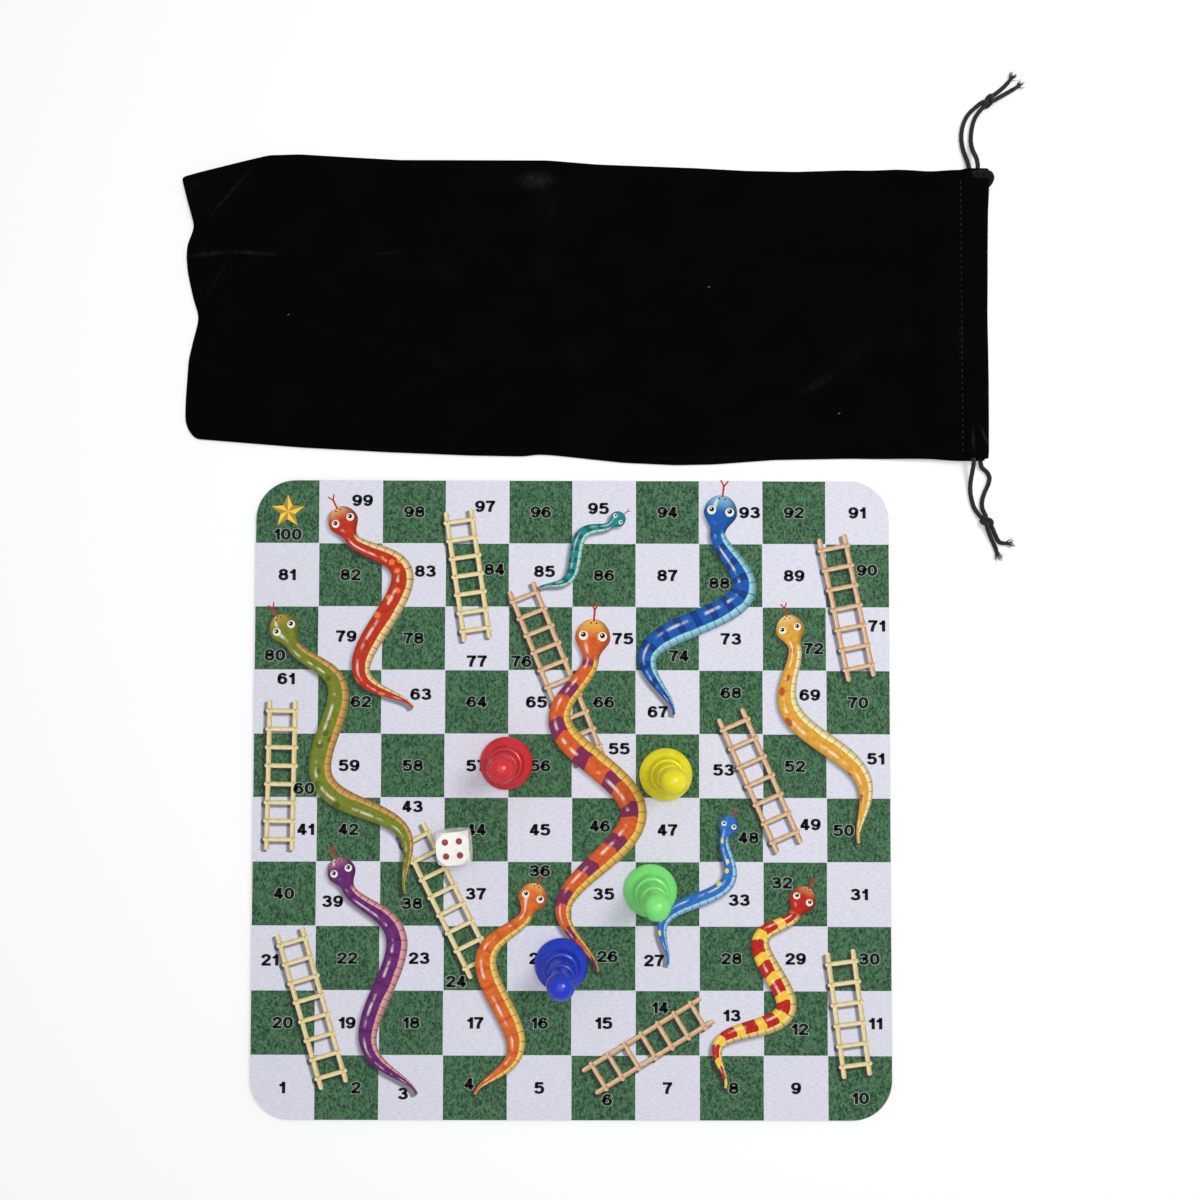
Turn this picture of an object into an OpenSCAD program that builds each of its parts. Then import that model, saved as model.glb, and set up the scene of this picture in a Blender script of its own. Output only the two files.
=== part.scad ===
// Roll-up snakes and ladders set: a cloth-faced rubber mat with its print, four pawns, a die
// and a velvet drawstring pouch lying flat above the mat.
// Origin: centre of the mat's underside. +X is the reader's right, +Y the top row, +Z up.

/* [Mat] */
// Side of one numbered square
square_w = 32; // [24:0.5:50]
// Squares along each side of the board
squares = 10; // [4:1:12]
// Radius of the mat's corners
mat_corner_r = 20; // [4:0.5:24]
// Thickness of the rubber backing
rubber_t = 2; // [1:0.1:5]
// Thickness of the woven cloth face
cloth_t = 0.5; // [0.3:0.05:1.5]
// Depth to which the dyes soak into the cloth
dye_t = 0.15; // [0.05:0.01:0.25]
// White gap that keeps each green square off its neighbours
dye_gap = 0.12; // [0.05:0.01:0.5]

/* [Ladders] */
// Width of a ladder over its two rails
ladder_w = 15; // [10:0.5:20]
// Width of a ladder's rail
rail_w = 2.2; // [1:0.1:3]
// Width of a ladder's rung
rung_w = 2; // [1:0.1:3]
// Distance from one rung to the next
rung_pitch = 9; // [6:0.5:16]

/* [Snakes] */
// Width of the fattest snake's body; the others take a share of it
snake_w = 13; // [6:0.5:14]
// Narrowest part of a snake's tail
tail_tip_w = 1.2; // [0.5:0.1:3]

/* [Pawns] */
// Diameter of a pawn's foot
pawn_d = 26.6; // [20:0.1:30]
// Height of a pawn
pawn_h = 43.4; // [24:0.1:50]
// Diameter of a pawn's round head
pawn_head_d = 13.4; // [8:0.1:14]
// Radius of the bead round the foot
pawn_rim_r = 1.2; // [0.8:0.1:2]
// Wall of the hollow pawn
pawn_wall = 1.5; // [1:0.1:2]

/* [Die] */
// Side of the die
die_w = 16; // [12:0.5:20]
// Radius of the die's edges
die_edge_r = 1.8; // [0.5:0.1:3]
// Distance from the die's centre to its rounded corners
die_corner_r = 11.6; // [9:0.1:20]
// Diameter of a pip
pip_d = 3.2; // [2:0.1:3.6]
// Distance between neighbouring pips
pip_pitch = 3.4; // [3.2:0.1:4]
// Depth of a pip
pip_depth = 0.6; // [0.2:0.05:1]
// Thickness of the paint at the bottom of a pip
paint_t = 0.2; // [0.05:0.05:0.5]
// Turn of the die on the board, degrees
die_turn = 5; // [-45:1:45]

/* [Pouch] */
// Length of the pouch from its closed end to its mouth
pouch_l = 405; // [200:1:450]
// Width of the pouch
pouch_w = 147; // [80:1:200]
// Depth of the hem that holds the drawstrings
casing_w = 14; // [12:0.5:20]
// Thickness of one layer of velvet
velvet_t = 0.8; // [0.5:0.1:1.5]
// Height to which the upper layer puffs over the lower one
puff_h = 2.4; // [0:0.1:3.5]
// Clear space between the hems of the two layers
mouth_gap = 0.3; // [0.1:0.1:1]
// Space between the pouch and the mat
pouch_to_mat = 13; // [10:1:60]

/* [Drawstrings] */
// Diameter of the drawstring
string_d = 2.2; // [1.5:0.1:2.6]
// Running clearance of a drawstring in its hem
string_clearance = 0.2; // [0.1:0.05:0.5]
// How far the upper string's run in the front hem lies from the mouth's edge
upper_front_inset = 5; // [4.6:0.1:5.4]
// How far the upper string's run in the back hem lies from the mouth's edge
upper_back_inset = 7.5; // [7:0.1:9]
// How far the lower string's run in the front hem lies from the mouth's edge
lower_front_inset = 8.4; // [8:0.1:9]
// How far the lower string's run in the back hem lies from the mouth's edge
lower_back_inset = 3; // [2.6:0.1:3.6]
// Bare end of each hem past the far end of a string's run
far_end_gap = 2; // [1:0.5:10]
// Length of a knot
knot_l = 8; // [6:0.5:12]
// Diameter of a knot
knot_d = 5.6; // [5:0.1:8]

/* [Hidden] */
$fn = 96;

// Overrun of every cut, and the gap under a piece that stands on the mat
cut = 1;
rest_gap = 0.05;

mat_w = square_w * squares;
mat_top = rubber_t + cloth_t;

// Print
// A ladder is [foot column, foot row, top column, top row], counted in squares from the lower left corner
ladder_shares = [
    [1.3, 0.55, 0.6, 2.9], [5.3, 0.6, 7.1, 1.7], [9.45, 0.7, 9.2, 2.6],
    [3.6, 2.3, 2.5, 4.5], [8.4, 4.25, 7.5, 6.3], [0.42, 4.2, 0.45, 6.5],
    [5.3, 5.6, 4.2, 8.3], [3.5, 7.5, 3.2, 9.5], [9.55, 6.9, 9.1, 9.1]
];
// A snake is [tail column, tail row, head column, head row, waves, swing in squares, share of snake_w]
warm_snake_shares = [
    [2.5, 6.4, 1.5, 9.1, 1, 0.6, 0.85],
    [5.4, 2.3, 5.3, 7.2, 1.5, 0.62, 1],
    [9.5, 4.3, 8.5, 7.4, 1, -0.4, 0.8],
    [3.5, 0.4, 4.3, 3.2, 1, -0.45, 0.8],
    [7.4, 0.5, 8.5, 3.2, 1.5, 0.42, 0.75]
];
cool_snake_shares = [
    [6.6, 6.3, 7.3, 9.2, 1, 0.65, 0.95],
    [2.4, 3.5, 0.6, 7.4, 1.5, -0.45, 0.85],
    [2.6, 0.4, 1.5, 3.6, 1, 0.5, 0.8],
    [6.5, 2.4, 7.4, 4.4, 1, 0.35, 0.55],
    [4.5, 8.3, 5.6, 9.3, 1, -0.2, 0.45]
];
// Neck, head and length of the head, and where the head is widest, as shares of the snake's own width
neck_share = 0.6;
head_w_share = 1.35;
head_l_share = 1.5;
head_widest_share = 0.5;
// Steps along a snake's body and round its head
snake_steps = 36;
head_steps = 10;
// How far along a snake to each side its direction is measured
way_share = 0.01;

// Mark on the last square: its place in squares, its radius as a share of a square, and its inner points'
star_points = 5;
star_place_shares = [0.5, squares - 0.5];
star_r_share = 0.27;
star_inner_share = 0.45;

// Pawns: places of the four feet on the board, in squares from the lower left corner
red_place_shares = [3.97, 5.54];
yellow_place_shares = [6.47, 5.37];
green_place_shares = [6.23, 3.56];
blue_place_shares = [4.84, 2.41];
// How far the neck ends below the middle of the head, as a share of the head's diameter
pawn_neck_share = 0.39;
// Three stepped tiers of a pawn: bottom and top radius as shares of the foot's, and where each starts
// and ends as shares of the neck's height
pawn_tier_shares = [[0.71, 0.62, 0.15, 0.36], [0.55, 0.48, 0.36, 0.74], [0.42, 0.29, 0.74, 1]];
// Shoulder of the foot: radius of the arc and its centre, as shares of the foot's radius
pawn_shoulder_share = 0.31;
pawn_shoulder_r_share = 0.6;
bead_r = 0.8;

die_place_shares = [3.19, 4.28];
pip_pattern = [
    [[0, 0]],
    [[-1, -1], [1, 1]],
    [[-1, -1], [0, 0], [1, 1]],
    [[-1, -1], [-1, 1], [1, -1], [1, 1]],
    [[-1, -1], [-1, 1], [1, -1], [1, 1], [0, 0]],
    [[-1, -1], [-1, 0], [-1, 1], [1, -1], [1, 0], [1, 1]]
];
// Turn that brings the top face to each side, for the values 4, 3, 5, 2, 6 and 1
die_faces = [
    [4, [0, 0, 0]], [3, [180, 0, 0]], [5, [90, 0, 0]], [2, [-90, 0, 0]], [6, [0, 90, 0]], [1, [0, -90, 0]]
];

// Pouch
tunnel_h = string_d + 2 * string_clearance;
casing_h = tunnel_h + 2 * velvet_t;
pouch_x = -195;
pouch_y = mat_w / 2 + pouch_to_mat;
mouth_x = pouch_x + pouch_l;
stitch_x = mouth_x - casing_w;
back_string_z = casing_h / 2;
front_string_z = casing_h + mouth_gap + casing_h / 2;
front_layer_z = front_string_z - velvet_t / 2;
// Lower and upper long edge: [share of the length, share of the width above the pouch's lowest corner]
lower_edge_shares = [
    [0, 0.047], [0.14, 0.017], [0.25, 0.001], [0.43, -0.004], [0.45, 0.004], [0.47, 0], [0.56, -0.026],
    [0.63, -0.034], [0.76, -0.02], [1, -0.0136]
];
upper_edge_shares = [
    [0, 0.945], [0.06, 1], [0.12, 1.023], [0.25, 1.015], [0.44, 1.015], [0.51, 1], [0.74, 0.97], [0.9, 0.9864],
    [1, 0.9864]
];
// Closed end: [share of the width, share of the length that the edge lies in]
closed_edge_shares = [
    [0, 0.008], [0.07, -0.004], [0.24, -0.003], [0.46, 0.015], [0.74, -0.004], [0.78, 0.008], [1, -0.01]
];
// Longest side of a facet of the panels, along the pouch and across it
panel_facet_l = 11.25;
panel_facet_w = 12.25;
panel_steps_l = ceil(pouch_l / panel_facet_l);
panel_steps_w = ceil(pouch_w / panel_facet_w);
// Share of the length over which the upper layer climbs to its hem
climb_share = 0.1;

// Drawstrings: routes chosen by hand, counted from the corner of the mouth that each string leaves by,
// with heights above the table. Each starts in its hem.
upper_left_route = [
    [0, 3, 2.1], [-0.7, 7, 1.6], [-1.9, 11, 1.2], [-3, 15, 1.1], [-3.5, 19.5, 1.1],
    [-3.1, 24, 1.1], [-1.7, 28.5, 1.1], [0.9, 32.6, 1.2], [5.7, 36.8, 2]
];
upper_right_route = [
    [0, 3, 6.6], [-0.2, 7, 5.4], [-0.8, 11.5, 3.1], [-1.1, 16, 1.5], [-1.1, 20, 1.1],
    [-0.6, 24, 1.1], [0.4, 28, 1.1], [2, 31.4, 1.4], [4.6, 34.6, 2.4]
];
upper_tail_routes = [
    [[4.2, 40.4, 2.4], [7.5, 43, 1.7], [11.5, 46.6, 1.1], [15.6, 51.2, 1.1]],
    [[5.4, 38.4, 2.4], [9.5, 41, 1.7], [14, 43.8, 1.1], [19, 46.8, 1.1]]
];
lower_left_route = [
    [0, -3, 6.6], [0, -7, 4.6], [0.1, -11.5, 2.2], [0.4, -16, 1.2], [1.1, -20, 1.1], [2.3, -24, 1.1],
    [4.8, -28.4, 2]
];
lower_right_route = [
    [0, -1.6, 2.1], [1, -3.8, 1.6], [3.3, -5.6, 1.2], [4.8, -8.4, 1.1], [4.2, -12, 1.1], [2.4, -16, 1.1],
    [1.1, -20, 1.1], [0.9, -24, 1.4], [1.9, -27.6, 2.2]
];
lower_tail_routes = [
    [[2.2, -33.6, 2.3], [4.6, -38.4, 1.4], [6.8, -41.6, 1.1], [11.6, -42.2, 1.1]],
    [[0, -34.6, 2.3], [2.3, -39.6, 1.4], [4.2, -43.6, 1.1], [5.8, -48.4, 1.1]]
];
upper_knot_offset = [1.8, 37.6];
upper_knot_turn = 31;
lower_knot_offset = [-0.6, -31];
lower_knot_turn = -62;
string_sides = 8;

// Middle of a piece placed by its shares of squares
function on_board(p) = [for (k = [0, 1]) p[k] * square_w - mat_w / 2];

// Smooth swing of a snake: none at its two ends and full between them
function swing(s, t) = s[5] * square_w * sin(360 * s[4] * t) * (1 - pow(2 * t - 1, 4));
function snake_tail(s) = on_board([s[0], s[1]]);
function snake_head(s) = on_board([s[2], s[3]]);
function unit(v) = v / norm(v);
function turned(v) = [-v.y, v.x];
function snake_point(s, t) = let (run = snake_head(s) - snake_tail(s))
    snake_tail(s) + run * t + turned(unit(run)) * swing(s, t);
function snake_way(s, t) = unit(snake_point(s, min(t + way_share, 1)) - snake_point(s, max(t - way_share, 0)));
function full_half(s) = s[6] * snake_w / 2;
function smooth(t) = let (c = max(0, min(1, t))) c * c * (3 - 2 * c);
// A body swells over its tail half and narrows to the neck over its last third
function body_half(s, t) = max(
    tail_tip_w / 2,
    full_half(s) * sin(90 * min(1, 2 * t)) * (1 - (1 - neck_share) * smooth(3 * t - 2))
);
// A head grows out of the neck and closes in a round nose
function head_half(s, u) = full_half(s) * (u < head_widest_share
    ? neck_share + (head_w_share - neck_share) * smooth(u / head_widest_share)
    : head_w_share * sqrt(max(0, 1 - pow((u - head_widest_share) / (1 - head_widest_share), 2))));
function snake_side(s, side) = concat(
    [for (i = [0:snake_steps]) let (t = i / snake_steps)
        snake_point(s, t) + turned(snake_way(s, t)) * side * body_half(s, t)],
    [for (i = [1:head_steps]) let (u = sin(90 * i / head_steps))
        snake_head(s) + snake_way(s, 1) * u * head_l_share * 2 * full_half(s)
            + turned(snake_way(s, 1)) * side * head_half(s, u)]
);
function backwards(list) = [for (i = [len(list) - 1:-1:0]) list[i]];

module snake_shape(s) {
    polygon(concat(snake_side(s, 1), backwards(snake_side(s, -1))));
}

module ladder_shape(l) {
    foot = on_board([l[0], l[1]]);
    top = on_board([l[2], l[3]]);
    length = norm(top - foot);
    rungs = floor(length / rung_pitch);
    translate(foot) rotate(atan2(top.y - foot.y, top.x - foot.x)) {
        for (side = [-1, 1])
            translate([0, side * (ladder_w - rail_w) / 2 - rail_w / 2]) square([length, rail_w]);
        for (i = [0:rungs - 1])
            translate([(i + 0.5) * length / rungs - rung_w / 2, -ladder_w / 2]) square([rung_w, ladder_w]);
    }
}

module star_shape() {
    translate(on_board(star_place_shares))
        polygon([for (i = [0:2 * star_points - 1])
            let (a = 90 + 180 * i / star_points)
            star_r_share * square_w * (i % 2 == 0 ? 1 : star_inner_share) * [cos(a), sin(a)]]);
}

module rounded_square(w, r) {
    union() {
        square([w - 2 * r, w], center = true);
        square([w, w - 2 * r], center = true);
        for (x = [-1, 1], y = [-1, 1]) translate([x, y] * (w / 2 - r)) circle(r);
    }
}

module green_shape() {
    intersection() {
        rounded_square(mat_w - 2 * dye_gap, mat_corner_r - dye_gap);
        for (column = [0:squares - 1], row = [0:squares - 1])
            if ((column + row) % 2 == 1)
                translate(on_board([column, row]) + [dye_gap, dye_gap]) square(square_w - 2 * dye_gap);
    }
}

module ladders_shape() { for (l = ladder_shares) ladder_shape(l); }
module warm_shape() { for (s = warm_snake_shares) snake_shape(s); }
module cool_shape() { for (s = cool_snake_shares) snake_shape(s); }

module dyed(extra = 0) {
    translate([0, 0, mat_top - dye_t]) linear_extrude(dye_t + extra) children();
}

module mat_backing() {
    color("#1d1d1f") linear_extrude(rubber_t) rounded_square(mat_w, mat_corner_r);
}

module mat_cloth() {
    color("#e4e3ec") difference() {
        translate([0, 0, rubber_t]) linear_extrude(cloth_t) rounded_square(mat_w, mat_corner_r);
        dyed(cut) {
            green_shape();
            ladders_shape();
            warm_shape();
            cool_shape();
            star_shape();
        }
    }
}

module green_squares() {
    color("#2c5c3c") dyed() difference() {
        green_shape();
        ladders_shape();
        warm_shape();
        cool_shape();
        star_shape();
    }
}

module ladders() {
    color("#dcc08c") dyed() difference() {
        ladders_shape();
        warm_shape();
        cool_shape();
    }
}

module warm_snakes() { color("#d8652f") dyed() warm_shape(); }
module cool_snakes() { color("#3a68b4") dyed() cool_shape(); }
module finish_star() { color("#d9b64a") dyed() star_shape(); }

module pawn(place_shares) {
    r = pawn_d / 2;
    head_z = pawn_h - pawn_head_d / 2;
    neck_z = head_z - pawn_head_d * pawn_neck_share;
    last = pawn_tier_shares[len(pawn_tier_shares) - 1];
    place = on_board(place_shares);
    translate([place.x, place.y, mat_top + rest_gap]) rotate_extrude() difference() {
        intersection() {
            union() {
                square([r - pawn_rim_r, 2 * pawn_rim_r]);
                translate([r - pawn_rim_r, pawn_rim_r]) circle(pawn_rim_r);
                translate([r * pawn_shoulder_r_share, pawn_rim_r]) circle(r * pawn_shoulder_share);
                square([r * pawn_shoulder_r_share, pawn_rim_r + r * pawn_shoulder_share]);
                for (tier = pawn_tier_shares) {
                    polygon([
                        [0, 0], [r * tier[0], 0], [r * tier[0], neck_z * tier[2]],
                        [r * tier[1], neck_z * tier[3]], [0, neck_z * tier[3]]
                    ]);
                    if (tier != last)
                        translate([r * tier[1], neck_z * tier[3] - bead_r]) circle(bead_r);
                }
                translate([0, head_z]) circle(d = pawn_head_d);
            }
            square([pawn_d, pawn_h + cut]);
        }
        polygon(concat(
            [[0, -cut], [r - pawn_rim_r - pawn_wall, -cut], [r - pawn_rim_r - pawn_wall, 0]],
            [for (tier = pawn_tier_shares) for (end = [0, 1])
                [r * tier[end] - pawn_wall, neck_z * tier[2 + end] - pawn_wall]],
            [[0, neck_z * last[3] - pawn_wall]]
        ));
    }
}

module red_pawn() { color("#d01420") pawn(red_place_shares); }
module yellow_pawn() { color("#f0d800") pawn(yellow_place_shares); }
module green_pawn() { color("#3fc45c") pawn(green_place_shares); }
module blue_pawn() { color("#1430b0") pawn(blue_place_shares); }

module on_die() {
    place = on_board(die_place_shares);
    translate([place.x, place.y, mat_top + rest_gap + die_w / 2]) rotate(die_turn) children();
}

module pips(from, height) {
    for (face = die_faces) rotate(face[1])
        for (p = pip_pattern[face[0] - 1])
            translate([p.x * pip_pitch, p.y * pip_pitch, die_w / 2 - from])
                cylinder(d = pip_d, h = height, $fn = 32);
}

module die() {
    color("#f2f0ec") on_die() difference() {
        intersection() {
            for (turn = [[0, 0, 0], [90, 0, 0], [0, 90, 0]])
                rotate(turn) translate([0, 0, -die_w / 2]) linear_extrude(die_w)
                    rounded_square(die_w, die_edge_r);
            sphere(die_corner_r);
        }
        pips(pip_depth, pip_depth + cut);
    }
}

module die_pips() { color("#7a1018") on_die() pips(pip_depth, paint_t); }

// Middle of the pouch's layer at a share u of its length and v of its width
function edge_y(shares, u) = pouch_y + pouch_w * lookup(u, shares);
function panel_place(u, v) = [
    pouch_x + pouch_l * (1 - u) * lookup(v, closed_edge_shares) + (stitch_x - pouch_x) * u,
    edge_y(lower_edge_shares, u) * (1 - v) + edge_y(upper_edge_shares, u) * v
];
lower_seam_y = edge_y(lower_edge_shares, 1);
upper_seam_y = edge_y(upper_edge_shares, 1);
seam_to_seam = upper_seam_y - lower_seam_y;
function climb(u) = smooth((u - 1 + climb_share) / climb_share);
// Height of the upper layer's underside: on the lower layer at the seams, puffed between them, up at its hem
function front_z(u, v) = velvet_t
    + puff_h * sqrt(sin(180 * v)) * smooth(u / climb_share) * (1 - climb(u))
    + (front_layer_z - velvet_t) * climb(u);

module pouch_back_panel() {
    color("#0b0b0c") linear_extrude(velvet_t) polygon(concat(
        [for (i = [0:panel_steps_l]) panel_place(i / panel_steps_l, 0)],
        [for (i = [panel_steps_l:-1:0]) panel_place(i / panel_steps_l, 1)],
        [for (j = [panel_steps_w - 1:-1:1]) panel_place(0, j / panel_steps_w)]
    ));
}

// A closed sheet of velvet over a grid, with its underside's height from front_z
module pouch_front_panel() {
    rows = panel_steps_w + 1;
    count = (panel_steps_l + 1) * rows;
    points = [for (side = [0, 1]) for (i = [0:panel_steps_l]) for (j = [0:panel_steps_w])
        let (u = i / panel_steps_l, v = j / panel_steps_w, p = panel_place(u, v))
        [p.x, p.y, front_z(u, v) + side * velvet_t]];
    function at(side, i, j) = side * count + i * rows + j;
    faces = concat(
        [for (i = [0:panel_steps_l - 1]) for (j = [0:panel_steps_w - 1]) each [
            [at(0, i, j), at(0, i + 1, j), at(0, i + 1, j + 1)],
            [at(0, i, j), at(0, i + 1, j + 1), at(0, i, j + 1)],
            [at(1, i, j), at(1, i + 1, j + 1), at(1, i + 1, j)],
            [at(1, i, j), at(1, i, j + 1), at(1, i + 1, j + 1)]]],
        [for (i = [0:panel_steps_l - 1]) each [
            [at(0, i, 0), at(1, i + 1, 0), at(0, i + 1, 0)], [at(0, i, 0), at(1, i, 0), at(1, i + 1, 0)],
            [at(0, i, panel_steps_w), at(0, i + 1, panel_steps_w), at(1, i + 1, panel_steps_w)],
            [at(0, i, panel_steps_w), at(1, i + 1, panel_steps_w), at(1, i, panel_steps_w)]]],
        [for (j = [0:panel_steps_w - 1]) each [
            [at(0, 0, j), at(0, 0, j + 1), at(1, 0, j + 1)], [at(0, 0, j), at(1, 0, j + 1), at(1, 0, j)],
            [at(0, panel_steps_l, j), at(1, panel_steps_l, j + 1), at(0, panel_steps_l, j + 1)],
            [at(0, panel_steps_l, j), at(1, panel_steps_l, j), at(1, panel_steps_l, j + 1)]]]
    );
    color("#131314") polyhedron(points, faces);
}

// Flat oval tube with a square side at its stitches, from one side seam to the other
module casing(z) {
    translate([stitch_x, lower_seam_y, z]) rotate([90, 0, 0]) mirror([0, 0, 1]) linear_extrude(seam_to_seam)
        difference() {
            union() {
                square([casing_w - casing_h / 2, casing_h]);
                translate([casing_w - casing_h / 2, casing_h / 2]) circle(d = casing_h);
            }
            translate([velvet_t, velvet_t]) union() {
                square([casing_w - casing_h / 2 - velvet_t, tunnel_h]);
                translate([casing_w - casing_h / 2 - velvet_t, tunnel_h / 2]) circle(d = tunnel_h);
            }
        }
}

module pouch_back_casing() { color("#0e0e0f") casing(0); }
module pouch_front_casing() { color("#161617") casing(casing_h + mouth_gap); }

// A string leaves its hem at this point: side is 1 at the upper seam and 0 at the lower one
function string_exit(side, inset, z) =
    [mouth_x - inset, edge_y(side == 1 ? upper_edge_shares : lower_edge_shares, 1), z];

// Straight run of a string in a hem, from its exit to just short of the other seam
module held_run(side, inset, z) {
    translate(string_exit(side, inset, z)) rotate([side == 1 ? 90 : -90, 0, 0])
        cylinder(d = string_d, h = seam_to_seam - far_end_gap, $fn = 32);
}

// A round tube along a route: its rings stand square to the way between their neighbours
module tube(route) {
    last = len(route) - 1;
    function way(i) = unit(route[min(i + 1, last)] - route[max(i - 1, 0)]);
    function across(i) = unit(cross(way(i), [0, 0, 1]));
    points = [for (i = [0:last]) for (k = [0:string_sides - 1])
        let (a = 360 * k / string_sides)
        route[i] + string_d / 2 * (across(i) * cos(a) + cross(across(i), way(i)) * sin(a))];
    faces = concat(
        [[for (k = [0:string_sides - 1]) k]],
        [for (i = [0:last - 1]) for (k = [0:string_sides - 1]) let (n = (k + 1) % string_sides) each [
            [i * string_sides + k, (i + 1) * string_sides + n, i * string_sides + n],
            [i * string_sides + k, (i + 1) * string_sides + k, (i + 1) * string_sides + n]]],
        [[for (k = [string_sides - 1:-1:0]) last * string_sides + k]]
    );
    polyhedron(points, faces);
}

// Two turns of string drawn tight round a core
module knot(corner_y, offset, turn) {
    translate([mouth_x + offset.x, corner_y + offset.y, knot_d / 2]) rotate([0, 90, turn]) union() {
        cylinder(d = knot_d - string_d, h = knot_l, center = true, $fn = 32);
        for (z = [-1, 0, 1])
            translate([0, 0, z * string_d]) rotate_extrude($fn = 32)
                translate([(knot_d - string_d) / 2, 0]) circle(d = string_d, $fn = 24);
    }
}

module strand(exit, route) {
    tube(concat([exit], [for (p = route) [exit.x + p.x, exit.y + p.y, p.z]]));
}

module tails(corner_y, routes) {
    for (route = routes) tube([for (p = route) [mouth_x + p.x, corner_y + p.y, p.z]]);
}

module upper_string_held() {
    color("#242426") {
        held_run(1, upper_front_inset, front_string_z);
        held_run(1, upper_back_inset, back_string_z);
    }
}

module lower_string_held() {
    color("#242426") {
        held_run(0, lower_front_inset, front_string_z);
        held_run(0, lower_back_inset, back_string_z);
    }
}

module upper_strand_left() {
    color("#242426") strand(string_exit(1, upper_back_inset, back_string_z), upper_left_route);
}

module upper_strand_right() {
    color("#242426") strand(string_exit(1, upper_front_inset, front_string_z), upper_right_route);
}

module lower_strand_left() {
    color("#242426") strand(string_exit(0, lower_front_inset, front_string_z), lower_left_route);
}

module lower_strand_right() {
    color("#242426") strand(string_exit(0, lower_back_inset, back_string_z), lower_right_route);
}

module upper_knot() { color("#1c1c1e") knot(upper_seam_y, upper_knot_offset, upper_knot_turn); }
module upper_tails() { color("#2c2c2e") tails(upper_seam_y, upper_tail_routes); }
module lower_knot() { color("#1c1c1e") knot(lower_seam_y, lower_knot_offset, lower_knot_turn); }
module lower_tails() { color("#2c2c2e") tails(lower_seam_y, lower_tail_routes); }

mat_backing();
mat_cloth();
green_squares();
ladders();
warm_snakes();
cool_snakes();
finish_star();
red_pawn();
yellow_pawn();
green_pawn();
blue_pawn();
die();
die_pips();
pouch_back_panel();
pouch_front_panel();
pouch_back_casing();
pouch_front_casing();
upper_string_held();
upper_strand_left();
upper_strand_right();
upper_knot();
upper_tails();
lower_string_held();
lower_strand_left();
lower_strand_right();
lower_knot();
lower_tails();
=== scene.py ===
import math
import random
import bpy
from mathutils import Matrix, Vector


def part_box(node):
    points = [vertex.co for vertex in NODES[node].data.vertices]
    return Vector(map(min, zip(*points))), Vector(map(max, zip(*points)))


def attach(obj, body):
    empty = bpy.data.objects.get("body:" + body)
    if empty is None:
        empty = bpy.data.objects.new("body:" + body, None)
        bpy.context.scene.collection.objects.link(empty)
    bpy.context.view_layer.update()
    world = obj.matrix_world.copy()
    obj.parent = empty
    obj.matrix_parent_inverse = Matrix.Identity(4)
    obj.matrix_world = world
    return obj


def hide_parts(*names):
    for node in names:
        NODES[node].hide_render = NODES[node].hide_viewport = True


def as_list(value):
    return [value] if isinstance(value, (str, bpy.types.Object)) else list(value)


bl_info = {
    "name": "Snakes and ladders set",
    "version": (1, 0, 0),
    "blender": (4, 5, 0),
    "location": "3D View > Sidebar > Board game",
    "description": "Dresses a roll-up snakes and ladders set: printed mat, pawns, die and velvet pouch",
    "category": "Object",
}

from contextlib import contextmanager

import bpy
import numpy as np
from bpy.props import FloatProperty, FloatVectorProperty, IntProperty, PointerProperty
from mathutils import Matrix, Vector, noise

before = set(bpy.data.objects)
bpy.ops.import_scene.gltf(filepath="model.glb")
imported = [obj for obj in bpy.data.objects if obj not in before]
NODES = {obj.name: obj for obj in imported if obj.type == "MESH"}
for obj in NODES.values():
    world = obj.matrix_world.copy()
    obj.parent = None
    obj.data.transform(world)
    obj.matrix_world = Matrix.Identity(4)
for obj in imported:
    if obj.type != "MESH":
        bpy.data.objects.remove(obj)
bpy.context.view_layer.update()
MM = 0.001

# The board, from the frame
CLOTH_LOW, CLOTH_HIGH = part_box("mat_cloth")
SQUARES = 10
SQUARE = (CLOTH_HIGH.x - CLOTH_LOW.x) / SQUARES
MAT_CORNER_R = 20 * MM
MAT_TOP = CLOTH_HIGH.z
DYE_DEPTH = MAT_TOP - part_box("green_squares")[0].z

# A ladder is foot column, foot row, top column, top row, counted in squares from the lower left corner
LADDERS = (
    (1.3, 0.55, 0.6, 2.9),
    (5.3, 0.6, 7.1, 1.7),
    (9.45, 0.7, 9.2, 2.6),
    (3.6, 2.3, 2.5, 4.5),
    (8.4, 4.25, 7.5, 6.3),
    (0.42, 4.2, 0.45, 6.5),
    (5.3, 5.6, 4.2, 8.3),
    (3.5, 7.5, 3.2, 9.5),
    (9.55, 6.9, 9.1, 9.1),
)
PALE_LADDERS = (0, 2, 3, 5, 7)

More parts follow.
